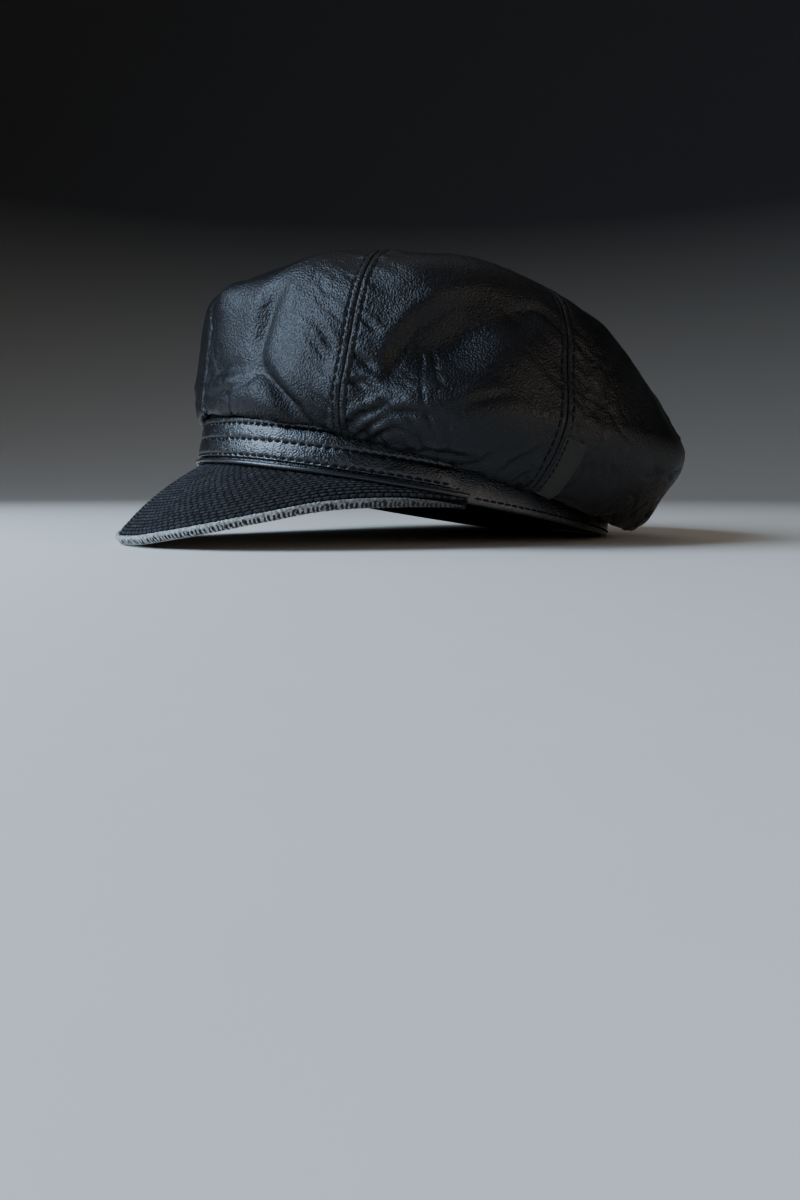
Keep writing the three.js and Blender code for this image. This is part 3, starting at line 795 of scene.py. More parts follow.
def crown_detail(angle, along, point):
    """How far the sewing, the gathers and the wrinkles stand out of the plain crown, in millimetres."""
    radius = np.hypot(point[:, 0], point[:, 1])
    nearest = np.round(angle / PANEL_ANGLE)
    seam = nearest % PANEL_COUNT
    from_seam = (angle - nearest * PANEL_ANGLE) * radius
    distance = np.abs(from_seam)
    length = along * CROWN_MEAN_LENGTH
    sewing = sewing_relief(along, distance, seam)
    puckers = pucker_relief(length, distance, seam, np.sign(from_seam))
    top_fade = smooth_step(*TOP_FADE_RADII, radius)
    gathers = gather_relief(angle, along, length)
    return (sewing + puckers) * top_fade + gathers + wrinkle_relief(along, point) * top_fade


def crown_surface(angle, along, lift=0.0, detail=True):
    """Points of the crown's leather at angles around and shares along, raised by lift, and the way out."""
    step = 0.004
    point = smooth_crown(angle, along)
    above = smooth_crown(angle, np.minimum(along + step, 1))
    upward = above - smooth_crown(angle, np.maximum(along - step, 0))
    side_along = np.minimum(along, PANEL_END_ALONG)
    sideways = smooth_crown(angle + step, side_along) - smooth_crown(angle - step, side_along)
    normal = unit(np.cross(sideways, upward))
    out = crown_relief(angle, along) + lift
    if detail:
        creases = crease_relief(angle, along) * smooth_step(0, SEWN_FADE_ALONG, along)
        out = out + crown_detail(angle, along, point) + creases
    return point + normal * np.reshape(out, (-1, 1)), normal


def panel_grid(number, along, step_skip, lift):
    """Points across one panel at each share along, closer together beside its seams."""
    radius = seam_radii(number, along)
    trim = SEAM_TRIM / radius
    width = (PANEL_ANGLE - 2 * trim) * radius
    narrowing = np.minimum(1, width / (PANEL_NARROW_AT * PANEL_EDGE_STEPS[-1]))
    edge = np.array(PANEL_EDGE_STEPS)[:, None] * narrowing
    middle_share = np.arange(1, PANEL_MIDDLE_STEPS)[:, None] / PANEL_MIDDLE_STEPS
    middle = edge[-1] + (width - 2 * edge[-1]) * middle_share
    across = np.vstack([edge, middle, (width - edge)[::-1]])[::step_skip]
    angle = PANEL_ANGLE * number + trim + across / radius
    rows = np.broadcast_to(along, angle.shape)
    points, _ = crown_surface(angle.ravel(), rows.ravel(), lift)
    return points.reshape(angle.shape + (3,))


def add_crown_panels(material, lining):
    along = np.linspace(0, PANEL_END_ALONG, PANEL_ROWS + 1)
    for number in range(PANEL_COUNT):
        outer = panel_grid(number, along, 1, 0.0)
        inner = panel_grid(number, along[::PANEL_STRIDE], PANEL_STRIDE, -CROWN_THICKNESS - FOLD_ROOM)
        node = f"crown_panel_{number + 1}"
        panel = add_shell(f"{node}_leather", outer, inner, material, lining, PANEL_STRIDE)
        dress(panel, node)


def seam_stitches(number, side):
    """Places of the stitches along one row beside a seam, with the way up off the leather."""
    along = np.linspace(0, SEAM_STITCHED_ALONG, SEAM_SAMPLES)
    length = seam_lengths(number, along)
    end = length[-1] - SEAM_STITCH_PITCH
    at = stitch_places(length, along, SEAM_STITCH_START, end, SEAM_STITCH_PITCH)
    if side > 0 and number == PANEL_COUNT // 4:
        tab_end = TAB_START_ALONG + TAB_LENGTH / CROWN_MEAN_LENGTH
        at = at[(at[:, 0] > tab_end + TAB_CLEAR_ALONG) | (at[:, -1] < TAB_START_ALONG - TAB_CLEAR_ALONG)]
    at = at.ravel()
    radius = np.interp(at, along, seam_radii(number, along))
    lift = np.tile(SEAM_STITCH_LIFTS, len(at) // len(STITCH_SHARES))
    return by_stitch(*crown_surface(PANEL_ANGLE * number + side * SEAM_ROW_OUT / radius, at, lift))


def add_seam_stitches(material):
    rows = [seam_stitches(number, side) for number in range(PANEL_COUNT) for side in (-1, 1)]
    add_stitches("crown_stitches", rows, material)


def add_button(material):
    radii = np.array(BUTTON_RADII, float)
    ups = np.array(BUTTON_UPS, float)
    lengths = path_lengths(np.stack([radii, ups], 1))
    at = np.linspace(0, lengths[-1], BUTTON_STEPS)[1:-1]
    radius = smooth_through(lengths, radii, at)
    up = smooth_through(lengths, ups, at)
    turns = np.linspace(0, 2 * math.pi, BUTTON_SIDES + 1)[:-1]
    pulled = flat_noise(turns * 5.5, 0, seed=41) * BUTTON_PULL
    widest = lengths[np.argmax(radii)]
    out = radius[None] + pulled[:, None] * bell(at - widest, BUTTON_PULL_WIDTH)[None]
    loops = np.stack([out * np.sin(turns)[:, None], -out * np.cos(turns)[:, None],
                      up + CROWN_TOP_UP + GAP + np.zeros_like(out)], -1)
    count, size = loops.shape[:2]
    # No face between the two ends of a loop, which are closed by a cap each
    faces = [face for face in loops_faces(count, size, True) if abs(face[0] - face[3]) == 1]
    faces.append([k * size for k in range(count)])
    faces.append([k * size + size - 1 for k in range(count)][::-1])
    button = add_mesh("button_leather", loops.reshape(-1, 3), faces, material)
    dress(button, "button")


# The band, the strap, the sweatband and the piping

def foot_height(angle, lowest):
    """The height of a band's lower edge, which the surface under the cap cuts off at the back."""
    return np.maximum(lowest, surface_height(-RIM_HALF_LENGTH * np.cos(angle)))


def upright_loops(angles, out, thickness, bottom, top, rows, relief, surface_gap=0.0):
    """Loops round a strip that stands on the rim: up its outer face, over its top and down inside."""
    place = rim_place(angles, out, 0.0)
    low = np.maximum(bottom, surface_height(place[:, 1]) + surface_gap)[:, None]
    half = thickness / 2
    bend = np.linspace(0, math.pi, STRIP_BEND_STEPS + 1)[1:-1]
    face = np.linspace(0, 1, rows + 1)
    inner = np.linspace(1, 0, STRIP_INNER_POINTS)
    depth = np.concatenate([
        np.zeros_like(face), half - half * np.cos(bend),
        np.full_like(inner, thickness), half + half * np.cos(bend)])
    height = top - low
    straight = height - 2 * half
    up = low + np.hstack([
        half + face * straight, height - half + half * np.sin(bend),
        half + inner * straight, np.zeros_like(height) + (half - half * np.sin(bend))])
    angle = np.broadcast_to(angles[:, None], up.shape)
    outside = np.clip(1 - depth / half, 0, 1)
    raised = relief(angle.ravel(), up.ravel()).reshape(up.shape) * outside
    return rim_place(angle, out - depth + raised, up)


def strap_lengths(angle):
    """The length round the front strip from its first stitch to each angle."""
    fine = sweep(STRAP_END_ANGLE - STRAP_STITCH_IN_ANGLE, STRAP_SAMPLES)
    return np.interp(angle, fine, path_lengths(rim_place(fine, GAP + STRAP_THICKNESS, 0.0)))


def strap_relief(angle, up):
    """Channels that stand out between the rows of stitches, furrows under the rows, and thin ends."""
    rows = [STRAP_BOTTOM + row for row in STRAP_ROWS_UP]
    edges = [STRAP_BOTTOM, *rows, STRAP_TOP]
    relief = np.zeros_like(up)
    for low, high in zip(edges[:-1], edges[1:]):
        share = np.clip((up - low) / (high - low), 0, 1)
        inside = (up >= low) & (up <= high)
        channel = min(STRAP_CHANNEL_HEIGHT, (high - low) * STRAP_CHANNEL_SHARE)
        relief += np.where(inside, channel * (4 * share * (1 - share)) ** 0.6, 0)
    around = angle * RIM_MEAN_RADIUS
    stitched_from = STRAP_STITCH_PITCH * STITCH_START_SHARE
    pull = stitch_pull(strap_lengths(angle), stitched_from, STRAP_STITCH_PITCH, least=0.2)
    for k, row in enumerate(rows):
        relief -= STRAP_FURROW_DEPTH * pull * bell(up - row, STRAP_FURROW_WIDTH)
        pucker = flat_noise(around, up, seed=51, size=(3.2, 3), shift=k * 9)
        relief += STRAP_PUCKER * pucker * np.exp(-(np.abs(up - row) / STRAP_PUCKER_REACH))
    relief += 0.5 * flat_noise(around, up, seed=52, size=(24, 18))
    end = smooth_step(STRAP_THIN_ANGLE, STRAP_END_ANGLE, np.abs(angle) / DEGREE)
    return relief * (1 - end) - STRAP_END_SINK * end


def band_relief(angle, up):
    """Soft unevenness and a groove near the top, where the band isn't under the strap."""
    around = angle * RIM_MEAN_RADIUS
    relief = 0.45 * flat_noise(around, up, seed=53, size=(26, 16))
    relief += 0.2 * flat_noise(around, up, seed=54, size=(9, 14))
    groove = BAND_GROOVE_DEPTH * bell(up - BAND_GROOVE_UP, BAND_GROOVE_WIDTH)
    free = smooth_step(*BAND_FREE_ANGLES, np.abs(angle) / DEGREE)
    return (relief - groove) * free


def rim_stitches(angles, out, heights, pitch, relief=None, facing=1):
    """Stitches along a line round the rim, with the way up off the leather."""
    length = path_lengths(rim_place(angles, out, heights))
    start = pitch * STITCH_START_SHARE
    at = stitch_places(length, angles, start, length[-1] - 2 * start, pitch).ravel()
    heights = np.interp(at, angles, heights)
    normal = unit(rim_place(at, 1.0, 0.0) - rim_place(at, 0.0, 0.0)) * facing
    lifts = np.tile(RIM_STITCH_LIFTS, len(at) // len(STITCH_SHARES))
    paths, ways = by_stitch(rim_place(at, out, heights) + normal * lifts[:, None], normal)
    if relief is not None:
        paths = paths + ways[:, None] * relief(at, heights).reshape(len(ways), -1)[..., None]
    return paths, ways


def add_strap(material, thread):
    out = GAP + STRAP_THICKNESS
    loops = upright_loops(
        sweep(STRAP_END_ANGLE, STRAP_LOOPS), out, STRAP_THICKNESS, STRAP_BOTTOM, STRAP_TOP, rows=40,
        relief=strap_relief)
    dress(add_loops("front_strap_leather", loops, material), "front_strap")
    around = sweep(STRAP_END_ANGLE - STRAP_STITCH_IN_ANGLE, ROW_SAMPLES)
    rows = []
    for row in STRAP_ROWS_UP:
        heights = np.full_like(around, STRAP_BOTTOM + row)
        rows.append(rim_stitches(around, out, heights, STRAP_STITCH_PITCH, strap_relief))
    add_stitches("strap_stitches", rows, thread)


def add_band(material, thread):
    loops = upright_loops(
        sweep(180, BAND_LOOPS + 1)[:-1], 0.0, BAND_THICKNESS, 0.0, BAND_HEIGHT, rows=24,
        relief=band_relief)
    dress(add_loops("band_leather", loops, material, True), "band")
    free_angle = STRAP_END_ANGLE + BAND_FROM_STRAP_ANGLE
    around = np.linspace(free_angle, 360 - free_angle, ROW_SAMPLES) * DEGREE
    row = rim_stitches(
        around, 0.0, foot_height(around, 0) + BAND_STITCH_UP, BAND_STITCH_PITCH,
        lambda angle, up: band_relief(wrap(angle), up))
    add_stitches("band_stitches", [row], thread)


def add_sweatband(material, thread):
    out = -BAND_THICKNESS - GAP
    loops = upright_loops(
        sweep(180, SWEATBAND_LOOPS + 1)[:-1], out, SWEATBAND_THICKNESS, SWEATBAND_BOTTOM, SWEATBAND_TOP,
        rows=10, relief=lambda angle, up: 0.15 * flat_noise(angle * 8, up / 9, seed=57),
        surface_gap=SWEATBAND_SURFACE_GAP)
    dress(add_loops("sweatband_leather", loops, material, True), "sweatband")
    around = sweep(180, ROW_SAMPLES)
    heights = foot_height(around, SWEATBAND_BOTTOM) + SWEATBAND_STITCH_UP
    row = rim_stitches(around, out - SWEATBAND_THICKNESS, heights, SWEATBAND_STITCH_PITCH, facing=-1)
    add_stitches("sweatband_stitches", [row], thread)


def add_piping(material):
    angles = sweep(PEAK_END_ANGLE, PIPING_LOOPS)
    turn = turns_of(PIPING_SIDES)
    around = angles * RIM_MEAN_RADIUS
    swell = 0.08 * flat_noise(around / 5, 0, seed=61)
    lean = 0.25 * flat_noise(around / 30, 0, seed=62)
    radius = (PIPING_RADIUS + swell)[:, None] * np.ones_like(turn)
    angle = np.broadcast_to(angles[:, None], radius.shape)
    out = PIPING_OUT + radius * np.cos(turn)
    up = PIPING_UP + lean[:, None] + radius * np.sin(turn)
    dress(add_loops("piping_cord", rim_place(angle, out, up), material), "piping")


# The peak

def peak_lengths(angle):
    """The length along the peak's edge from its middle to each angle, in millimetres."""
    fine = sweep(PEAK_END_ANGLE, PEAK_SAMPLES)
    length = path_lengths(peak_edge_place(fine))
    return np.interp(angle, fine, length - length[-1] / 2)


def weave_height(across, down):
    """Raised bricks of a coarse weave, rows down and lengths across, each row shifted by half a brick."""
    row = np.floor(down)
    offset = 0.5 * (row % 2) + WEAVE_WANDER_SHARE * np.sin(row * 2.7)
    place = across + offset
    number = np.floor(place)
    u = np.abs(2 * (place - number) - 1)
    v = np.abs(2 * (down - row) - 1)
    uneven = flat_noise(number * 0.73 + 0.31, row * 0.61 + 0.17, seed=71)
    return (1 - u**WEAVE_END_SHARPNESS) * (1 - v**WEAVE_SIDE_SHARPNESS) * (0.9 + 0.35 * uneven)


def add_peak_cover(material):
    columns, rows, stride = 600, 116, 4
    angle_steps = sweep(PEAK_END_ANGLE, columns + 1)
    share_steps = np.linspace(0, 1, rows + 1)
    angle, share = every_pair(angle_steps, share_steps)
    place, normal = peak_place(angle, share, 0.0)
    edge, sewn, _, _ = peak_frame(angle)
    width = np.linalg.norm(edge - sewn, axis=1)
    length = peak_lengths(angle)
    weave = weave_height(length / WEAVE_LENGTH, (1 - share) * width / WEAVE_ROW)
    rim_fade = smooth_step(0, WEAVE_RIM, (1 - share) * width)
    wavy = 0.25 * flat_noise(length, share * width, seed=72, size=(30, 30))
    raised = (weave * rim_fade - WEAVE_FLOOR_SHARE) * WEAVE_HEIGHT + wavy * rim_fade
    outer = place + normal * raised[:, None]
    coarse_angle, coarse_share = every_pair(angle_steps[::stride], share_steps[::stride])
    inner, _ = peak_place(coarse_angle, coarse_share, PEAK_COVER_THICKNESS)
    cover = add_shell(
        "peak_cover_weave",
        outer.reshape(columns + 1, rows + 1, 3),
        inner.reshape(columns // stride + 1, rows // stride + 1, 3),
        material, material, stride)
    # The bricks' height also sets the cloth's colour, near black in the gaps between them: painted shade
    set_values(cover, "weave", np.concatenate([weave, np.zeros(len(inner))]))
    dress(cover, "peak_cover")


def add_peak_underside(material):
    columns, rows = 160, 24
    angle, share = every_pair(sweep(PEAK_END_ANGLE, columns + 1), np.linspace(0, 1, rows + 1))
    depth = PEAK_COVER_THICKNESS + GAP
    top, _ = peak_place(angle, share, depth)
    soft = 0.15 * flat_noise(angle * 9, share * 2.5, seed=73)
    bottom, _ = peak_place(angle, share, depth + PEAK_UNDERSIDE_THICKNESS - soft)
    top = top.reshape(columns + 1, rows + 1, 3)
    bottom = bottom.reshape(columns + 1, rows + 1, 3)
    loops = np.concatenate([bottom, top[:, ::-1]], 1)
    dress(add_loops("peak_underside_cloth", loops, material), "peak_underside")


def binding_relief(angles, turn):
    """How far the binding's yarn stands out, and its tone: light cloth with a row of dark ticks below,
    darkened towards both ends with painted shade and some wear.
    """
    length = peak_lengths(angles)
    uneven = 2.0 * flat_noise(length / 2.6, 0, seed=75)[:, None]
    wave = np.cos(2 * np.pi * (length[:, None] / BINDING_PITCH + turn[None] * BINDING_SLANT) + uneven)
    rib = 0.5 + 0.5 * wave
    fuzz = gradient_noise(np.stack([
        np.repeat(length / BINDING_FUZZ_SIZE, len(turn)),
        np.tile(BINDING_FUZZ_ROUND * np.cos(turn), len(angles)),
        np.tile(BINDING_FUZZ_ROUND * np.sin(turn), len(angles)),
    ], 1), seed=76).reshape(rib.shape)
    height = np.sin(turn)[None] + 0.4 * fuzz
    ticks = smooth_step(*TICKS_LOWER_BORDER, height) * (1 - smooth_step(*TICKS_UPPER_BORDER, height))
    # Darker towards both ends of the edge: painted shade, with some wear
    worn = 1 - SHADED_AND_WORN_SHARE * smooth_step(*SHADED_AND_WORN_ANGLES, np.abs(angles) / DEGREE)[:, None]
    band = worn * (0.68 + 0.22 * rib + 0.55 * fuzz)
    specks = worn * smooth_step(0.4, 0.85, rib + 0.8 * fuzz)
    tone = np.clip((1 - ticks) * band + ticks * specks, 0, 1)
    bumps = 0.2 * (1 + fuzz)
    sunk = (0.1 * (1 - rib) + bumps) * (1 - ticks) + (0.5 * bumps + 0.3 * (1 - rib)) * ticks
    return -sunk, tone


def add_peak_edge(material):
    angles = sweep(PEAK_EDGE_END_ANGLE, EDGE_LOOPS)
    turn = turns_of(EDGE_SIDES, 0.5)
    raised, tone = binding_relief(angles, turn)
    loops = peak_edge_loops(angles, turn, raised)
    middle = loops.mean(1, keepdims=True)
    past = np.abs(angles) / DEGREE - EDGE_ROUND_ANGLE
    ending = np.clip(past / (PEAK_EDGE_END_ANGLE - EDGE_ROUND_ANGLE), 0, 1)
    closing = 1 - EDGE_END_CLOSING * ending**EDGE_END_ROUNDNESS
    edge = add_loops("peak_edge_binding", middle + (loops - middle) * closing[:, None, None], material)
    set_values(edge, "tone", tone)
    dress(edge, "peak_edge")


# The tab beside the left seam

def add_tab(material, thread):
    across_steps, up_steps = 28, 60
    share_length = TAB_LENGTH / crown_line(np.array([TAB_SEAM_ANGLE]))[2][0, -1]
    across, up = every_pair(np.linspace(0, 1, across_steps + 1), np.linspace(0, 1, up_steps + 1))
    along = TAB_START_ALONG + up * share_length
    angle = TAB_SEAM_ANGLE + (TAB_FROM_SEAM + across * TAB_WIDTH) / CROWN_MEAN_RADIUS
    curl = 0.7 * across**3 * (0.4 + 0.6 * np.sin(up * 7))
    across_border = np.minimum(across, 1 - across) * TAB_WIDTH
    up_border = np.minimum(up, 1 - up) * TAB_LENGTH
    hem = TAB_HEM_HEIGHT * (1 - smooth_step(*TAB_HEM_WIDTHS, np.minimum(across_border, up_border)))
    cloth_thickness = TAB_THICKNESS * TAB_CLOTH_SHARE
    top, normal = crown_surface(angle, along, GAP + cloth_thickness + curl * TAB_CURL + hem, False)
    bottom = top - normal * (cloth_thickness + hem[:, None])
    shape = (across_steps + 1, up_steps + 1, 3)
    loops = np.concatenate([top.reshape(shape), bottom.reshape(shape)[:, ::-1]], 1)
    dress(add_loops("label_tab_fabric", loops, material), "label_tab")
    starts = np.arange(*TAB_STITCHED_SHARES, TAB_STITCH_STEP_SHARE)
    places = (starts[:, None] + STITCH_SHARES * TAB_STITCH_SHARE).ravel()
    at = TAB_START_ALONG + places * share_length
    beside = TAB_SEAM_ANGLE + (TAB_FROM_SEAM + TAB_STITCH_IN) / CROWN_MEAN_RADIUS + np.zeros_like(at)
    lift = np.tile(GAP + cloth_thickness + TAB_STITCH_LIFTS, len(starts))
    row = by_stitch(*crown_surface(beside, at, lift, False))
    add_stitches("tab_stitches", [row], thread)


# Materials

class Finish:
    """One material, with textures laid on the object's own coordinates."""

    def __init__(self, name, color, roughness, gloss=0.5, sheen=0.0):
        self.material = bpy.data.materials.new(name)
        self.material.use_nodes = True
        self.nodes = self.material.node_tree.nodes
        self.link = self.material.node_tree.links.new
        self.inputs = self.nodes["Principled BSDF"].inputs
        self.inputs["Base Color"].default_value = (*color, 1)
        self.inputs["Roughness"].default_value = roughness
        self.inputs["Specular IOR Level"].default_value = gloss
        self.inputs["Sheen Weight"].default_value = sheen
        self.where = self.nodes.new("ShaderNodeTexCoord").outputs["Object"]

    def add(self, kind, **values):
        node = self.nodes.new("ShaderNode" + kind)
        for name, value in values.items():
            node.inputs[name.replace("_", " ")].default_value = value
        return node

    def texture(self, kind, at=None, **values):
        node = self.add("Tex" + kind, **values)
        self.link(self.where if at is None else at, node.inputs["Vector"])
        return node

    def noise(self, **values):
        return self.texture("Noise", **values).outputs["Fac"]

    def ramp(self, source, low_at, high_at, low=0.0, high=1.0):
        node = self.add("MapRange", From_Min=low_at, From_Max=high_at, To_Min=low, To_Max=high)
        self.link(source, node.inputs["Value"])
        return node.outputs["Result"]

    def mix(self, share, first, second):
        node = self.add("Mix")
        node.data_type = "RGBA"
        self.link(share, node.inputs["Factor"])
        for name, value in (("A", first), ("B", second)):
            socket = next(s for s in node.inputs if s.name == name and s.type == "RGBA")
            if isinstance(value, tuple):
                socket.default_value = (*value, 1)
            else:
                self.link(value, socket)
        return next(s for s in node.outputs if s.type == "RGBA")

    def paint(self, share, first, second):
        self.link(self.mix(share, first, second), self.inputs["Base Color"])

    def emboss(self, *layers):
        """Relief from pairs of a height and its depth in metres, the lowest layer first."""
        normal = None
        for height, depth in layers:
            bump = self.add("Bump", Strength=1.0, Distance=depth)
            self.link(height, bump.inputs["Height"])
            if normal is not None:
                self.link(normal, bump.inputs["Normal"])
            normal = bump.outputs["Normal"]
        self.link(normal, self.inputs["Normal"])


def darker(color, share):
    return tuple(share * c for c in color)


def leather(name, color, worn, roughness, gloss, grain_scale, grain_depth, wrinkle_depth):
    """Dyed leather: a fine pebble grain with pores, soft wrinkles, and a worn sheen on its ridges."""
    finish = Finish(name, color, roughness, gloss)
    cells = finish.texture("Voronoi", Scale=grain_scale, Randomness=1.0)
    cells.feature = "SMOOTH_F1"
    cells.inputs["Smoothness"].default_value = 0.35
    grain = finish.ramp(cells.outputs["Distance"], 0.0, 0.75, 1.0, 0.0)
    pores = finish.noise(Scale=grain_scale * 3.2, Detail=2.0, Roughness=0.6)
    wrinkle = finish.noise(Scale=210.0, Detail=4.0, Roughness=0.62, Distortion=0.6)
    patch = finish.noise(Scale=38.0, Detail=3.0, Roughness=0.55)
    bent = finish.texture("Noise", Scale=120.0, Detail=3.0)
    shift = finish.add("VectorMath")
    shift.operation = "MULTIPLY_ADD"
    finish.link(bent.outputs["Color"], shift.inputs[0])
    shift.inputs[1].default_value = (0.006, 0.006, 0.006)
    finish.link(finish.where, shift.inputs[2])
    net = finish.texture("Voronoi", shift.outputs["Vector"], Scale=150.0, Randomness=1.0)
    net.feature = "DISTANCE_TO_EDGE"
    lines = finish.ramp(net.outputs["Distance"], 0.0, 0.09)
    finish.emboss((wrinkle, wrinkle_depth), (lines, wrinkle_depth * 0.3),
                  (grain, grain_depth), (pores, grain_depth * 0.5))
    uneven = finish.ramp(patch, 0.3, 0.7, roughness - 0.06, roughness + 0.07)
    finish.link(uneven, finish.inputs["Roughness"])
    ridge = finish.ramp(finish.add("NewGeometry").outputs["Pointiness"], 0.5, 0.56, 0.0, 0.7)
    finish.paint(ridge, finish.mix(patch, darker(color, 0.75), color), worn)
    return finish.material


def thread_material(name, color):
    finish = Finish(name, color, 0.8, gloss=0.2)
    twist = finish.noise(Scale=2600.0, Detail=1.0)
    finish.emboss((twist, 0.00015))
    finish.paint(twist, darker(color, 0.6), color)
    return finish.material


def cloth(name, color, thread_scale, roughness=0.85):
    """A fine plain weave: two crossed sets of threads, with fuzz."""
    finish = Finish(name, color, roughness, gloss=0.15, sheen=0.05)
    crossed = finish.add("Math")
    crossed.operation = "MULTIPLY"
    for axis, socket in zip("XY", crossed.inputs):
        wave = finish.texture("Wave", Scale=thread_scale, Distortion=0.6, Detail=1.0)
        wave.bands_direction = axis
        finish.link(wave.outputs["Fac"], socket)
    weave = crossed.outputs["Value"]
    finish.emboss((weave, 0.00025), (finish.noise(Scale=1500.0, Detail=3.0), 0.0001))
    finish.paint(weave, darker(color, 0.45), color)
    return finish.material


def patterned_cloth(name, attribute, low, high, gloss, low_color, high_color, fleck_color):
    """Coarse yarn whose shade follows a value of the mesh, with flecks of a lighter fibre."""
    finish = Finish(name, high_color, 0.78, gloss, gloss * 0.5)
    value = finish.add("Attribute")
    value.attribute_name = attribute
    fibre = finish.noise(Scale=2200.0, Detail=3.0, Roughness=0.7)
    fleck = finish.noise(Scale=950.0, Detail=3.0, Roughness=0.7)
    flecked = finish.mix(finish.ramp(fleck, 0.42, 0.62), high_color, fleck_color)
    finish.paint(finish.ramp(value.outputs["Fac"], low, high), low_color, flecked)
    finish.emboss((fleck, 0.0004), (fibre, 0.0002))
    return finish.material


BLACK_DYE = (0.0045, 0.0045, 0.0055)
WORN_BLACK = (0.013, 0.0125, 0.013)
crown_leather = leather(
    "crown_leather", BLACK_DYE, WORN_BLACK, roughness=0.33, gloss=0.28,
    grain_scale=1300.0, grain_depth=0.00018, wrinkle_depth=0.00011)
band_leather = leather(
    "band_leather", BLACK_DYE, WORN_BLACK, roughness=0.25, gloss=0.63,
    grain_scale=1300.0, grain_depth=0.00012, wrinkle_depth=0.00005)
piping_leather = leather(
    "piping_leather", (0.009, 0.009, 0.011), (0.035, 0.034, 0.035), roughness=0.24, gloss=0.5,
    grain_scale=1500.0, grain_depth=0.00004, wrinkle_depth=0.00004)
sweatband_leather = leather(
    "sweatband_leather", (0.009, 0.009, 0.010), (0.02, 0.019, 0.019), roughness=0.5, gloss=0.35,
    grain_scale=1300.0, grain_depth=0.00006, wrinkle_depth=0.00008)
thread = thread_material("black_thread", (0.0035, 0.0035, 0.004))
lining_cloth = cloth("lining_cloth", (0.012, 0.012, 0.013), 500.0)
# The peak's cloth is near black where its bricks are low: painted shade in the gaps between the raised
# bricks
peak_fabric = patterned_cloth(
    "peak_weave", "weave", 0.35, 0.8, gloss=0.08,
    low_color=(0.001, 0.001, 0.001), high_color=(0.022, 0.0225, 0.024), fleck_color=(0.052, 0.053, 0.057))
# The bound edge's tone: dark ticks on light cloth, and painted shade with some wear towards both ends
edge_fabric = patterned_cloth(
    "edge_binding", "tone", 0.05, 0.85, gloss=0.3,
    low_color=(0.005, 0.005, 0.006), high_color=(0.26, 0.26, 0.253), fleck_color=(0.58, 0.58, 0.56))
underside_cloth = cloth("underside_cloth", (0.010, 0.010, 0.011), 420.0)
tab_cloth = cloth("tab_cloth", (0.060, 0.060, 0.051), 900.0, 0.6)

add_crown_panels(crown_leather, lining_cloth)
add_seam_stitches(thread)
add_button(crown_leather)
add_band(band_leather, thread)
add_strap(band_leather, thread)
add_sweatband(sweatband_leather, thread)
add_piping(piping_leather)
add_peak_cover(peak_fabric)
add_peak_underside(underside_cloth)
add_peak_edge(edge_fabric)
add_tab(tab_cloth, thread)


# The stage, the lights and the camera, in metres

FLOOR_COLOR = (0.84, 0.80, 0.73)
WALL_COLOR = (0.10, 0.10, 0.105)
FLOOR_RADIUS = 1.3
FLOOR_BEND = 2.2
WALL_TOP = 4.5
WALL_SIDES = 128
WALL_BENDS = 32


def add_stage():
    """A round floor that bends up into a wall and gets darker with height."""
    finish = Finish("stage_floor", FLOOR_COLOR, 0.75)
    speck = finish.noise(Scale=90.0, Detail=4.0)
    height = finish.add("SeparateXYZ")
    finish.link(finish.where, height.inputs["Vector"])
    floor_shade = finish.mix(speck, darker(FLOOR_COLOR, 0.96), FLOOR_COLOR)
    finish.paint(finish.ramp(height.outputs["Z"], 0.02, 1.1), floor_shade, WALL_COLOR)
    bend = np.linspace(0, math.pi / 2, WALL_BENDS + 1)
    radii = np.append(FLOOR_RADIUS + FLOOR_BEND * np.sin(bend), FLOOR_RADIUS + FLOOR_BEND)
    heights = np.append(FLOOR_BEND - FLOOR_BEND * np.cos(bend), WALL_TOP)
    turn = turns_of(WALL_SIDES)
    rings = np.stack([np.outer(radii, np.cos(turn)), np.outer(radii, np.sin(turn)),
                      np.outer(heights, np.ones_like(turn))], -1)
    wall = loops_faces(len(radii), WALL_SIDES, False)[:-2]
    faces = [[corner + 1 for corner in face] for face in wall]
    faces += [(0, 1 + k, 1 + (k + 1) % WALL_SIDES) for k in range(WALL_SIDES)]
    mesh = bpy.data.meshes.new("stage_floor")
    mesh.from_pydata([(0, 0, 0), *rings.reshape(-1, 3).tolist()], [], faces)
    mesh.polygons.foreach_set("use_smooth", [True] * len(faces))
    mesh.materials.append(finish.material)
    add_object("stage_floor", mesh)


def aim(item, place, forward):
    item.location = place
    item.rotation_mode = "QUATERNION"
    item.rotation_quaternion = forward.to_track_quat("-Z", "Y")


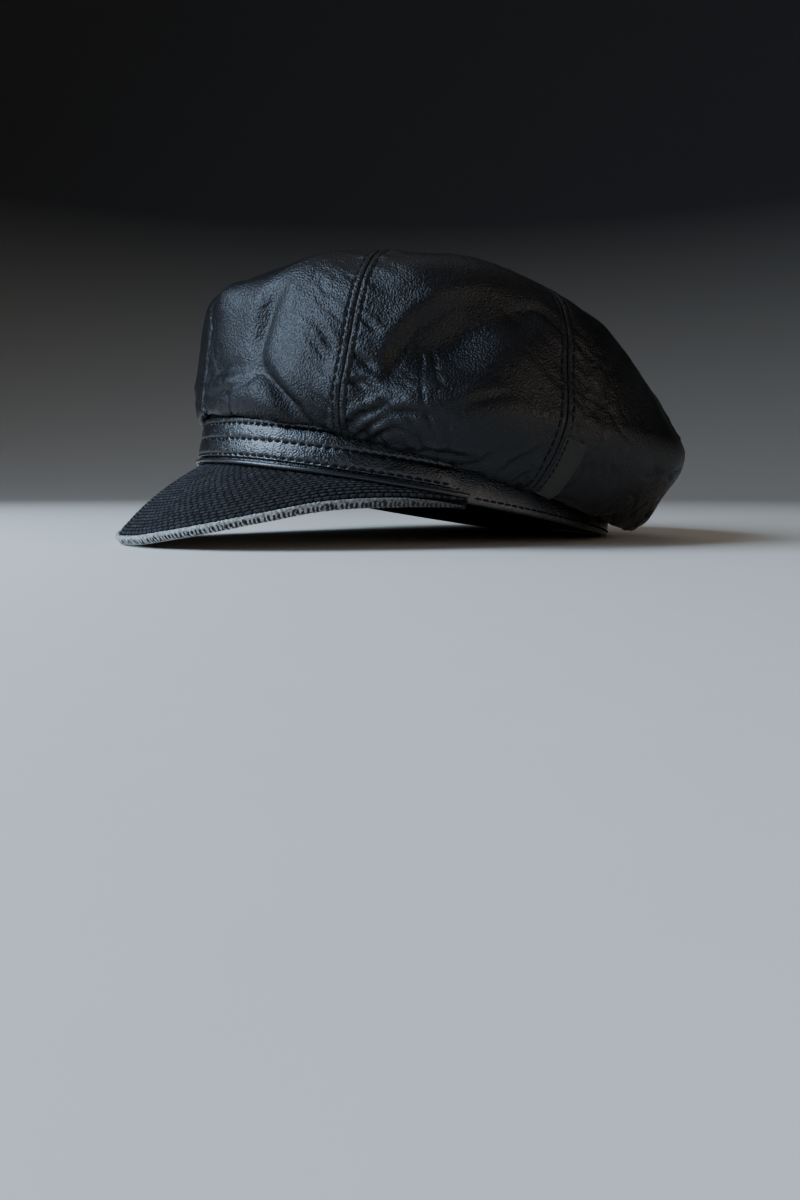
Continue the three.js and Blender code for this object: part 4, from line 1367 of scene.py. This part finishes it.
def add_light(name, direction, distance, size, power, color):
    data = bpy.data.lights.new(name, "AREA")
    data.shape = "RECTANGLE"
    data.size, data.size_y = size
    data.energy = power
    data.color = color
    place = CAP_MIDDLE + direction.normalized() * distance
    aim(add_object(name, data), place, CAP_MIDDLE - place)


CAMERA_AZIMUTH = 63.0 * DEGREE
CAMERA_DISTANCE = 0.405
CAMERA_HEIGHT = 0.024
CAP_MIDDLE = Vector((0.0, 0.0, 0.058))
LONG_SIDE = 1200
FOCAL_PIXELS = 829.0
SENSOR = 36.0
PHOTO_CENTRE_DOWN = 415

left = Vector((-math.cos(CAMERA_AZIMUTH), -math.sin(CAMERA_AZIMUTH), 0))
near = Vector((math.sin(CAMERA_AZIMUTH), -math.cos(CAMERA_AZIMUTH), 0))
up = Vector((0, 0, 1))
level = math.sqrt(CAMERA_DISTANCE**2 - (CAMERA_HEIGHT - CAP_MIDDLE.z) ** 2)
rise = math.atan2(CAP_MIDDLE.z - CAMERA_HEIGHT, level)
lowered = math.atan((LONG_SIDE / 2 - PHOTO_CENTRE_DOWN) / FOCAL_PIXELS)
camera_data = bpy.data.cameras.new("camera")
camera_data.sensor_width = SENSOR
camera_data.lens = SENSOR * FOCAL_PIXELS / LONG_SIDE
camera_data.clip_start = 0.01
camera = add_object("camera", camera_data)
bpy.context.scene.camera = camera
aim(camera, near * level + up * CAMERA_HEIGHT,
    near * -math.cos(rise - lowered) + up * math.sin(rise - lowered))

add_stage()
add_light("window", left * 0.95 + near * 0.37 + up * 0.6,
          distance=1.0, size=(0.60, 0.80), power=20.0, color=(0.59, 0.76, 1.0))
add_light("top", near * -0.2 + up,
          distance=1.8, size=(1.6, 1.6), power=2.5, color=(1.0, 0.97, 0.93))
add_light("warm", left * -1.2 + near * 0.85 + up * 0.22,
          distance=1.6, size=(0.9, 0.9), power=7.5, color=(1.0, 0.87, 0.73))

world = bpy.data.worlds.new("world")
world.use_nodes = True
background = world.node_tree.nodes["Background"].inputs
background["Color"].default_value = (0.88, 0.87, 0.86, 1)
background["Strength"].default_value = 0.06
bpy.context.scene.world = world
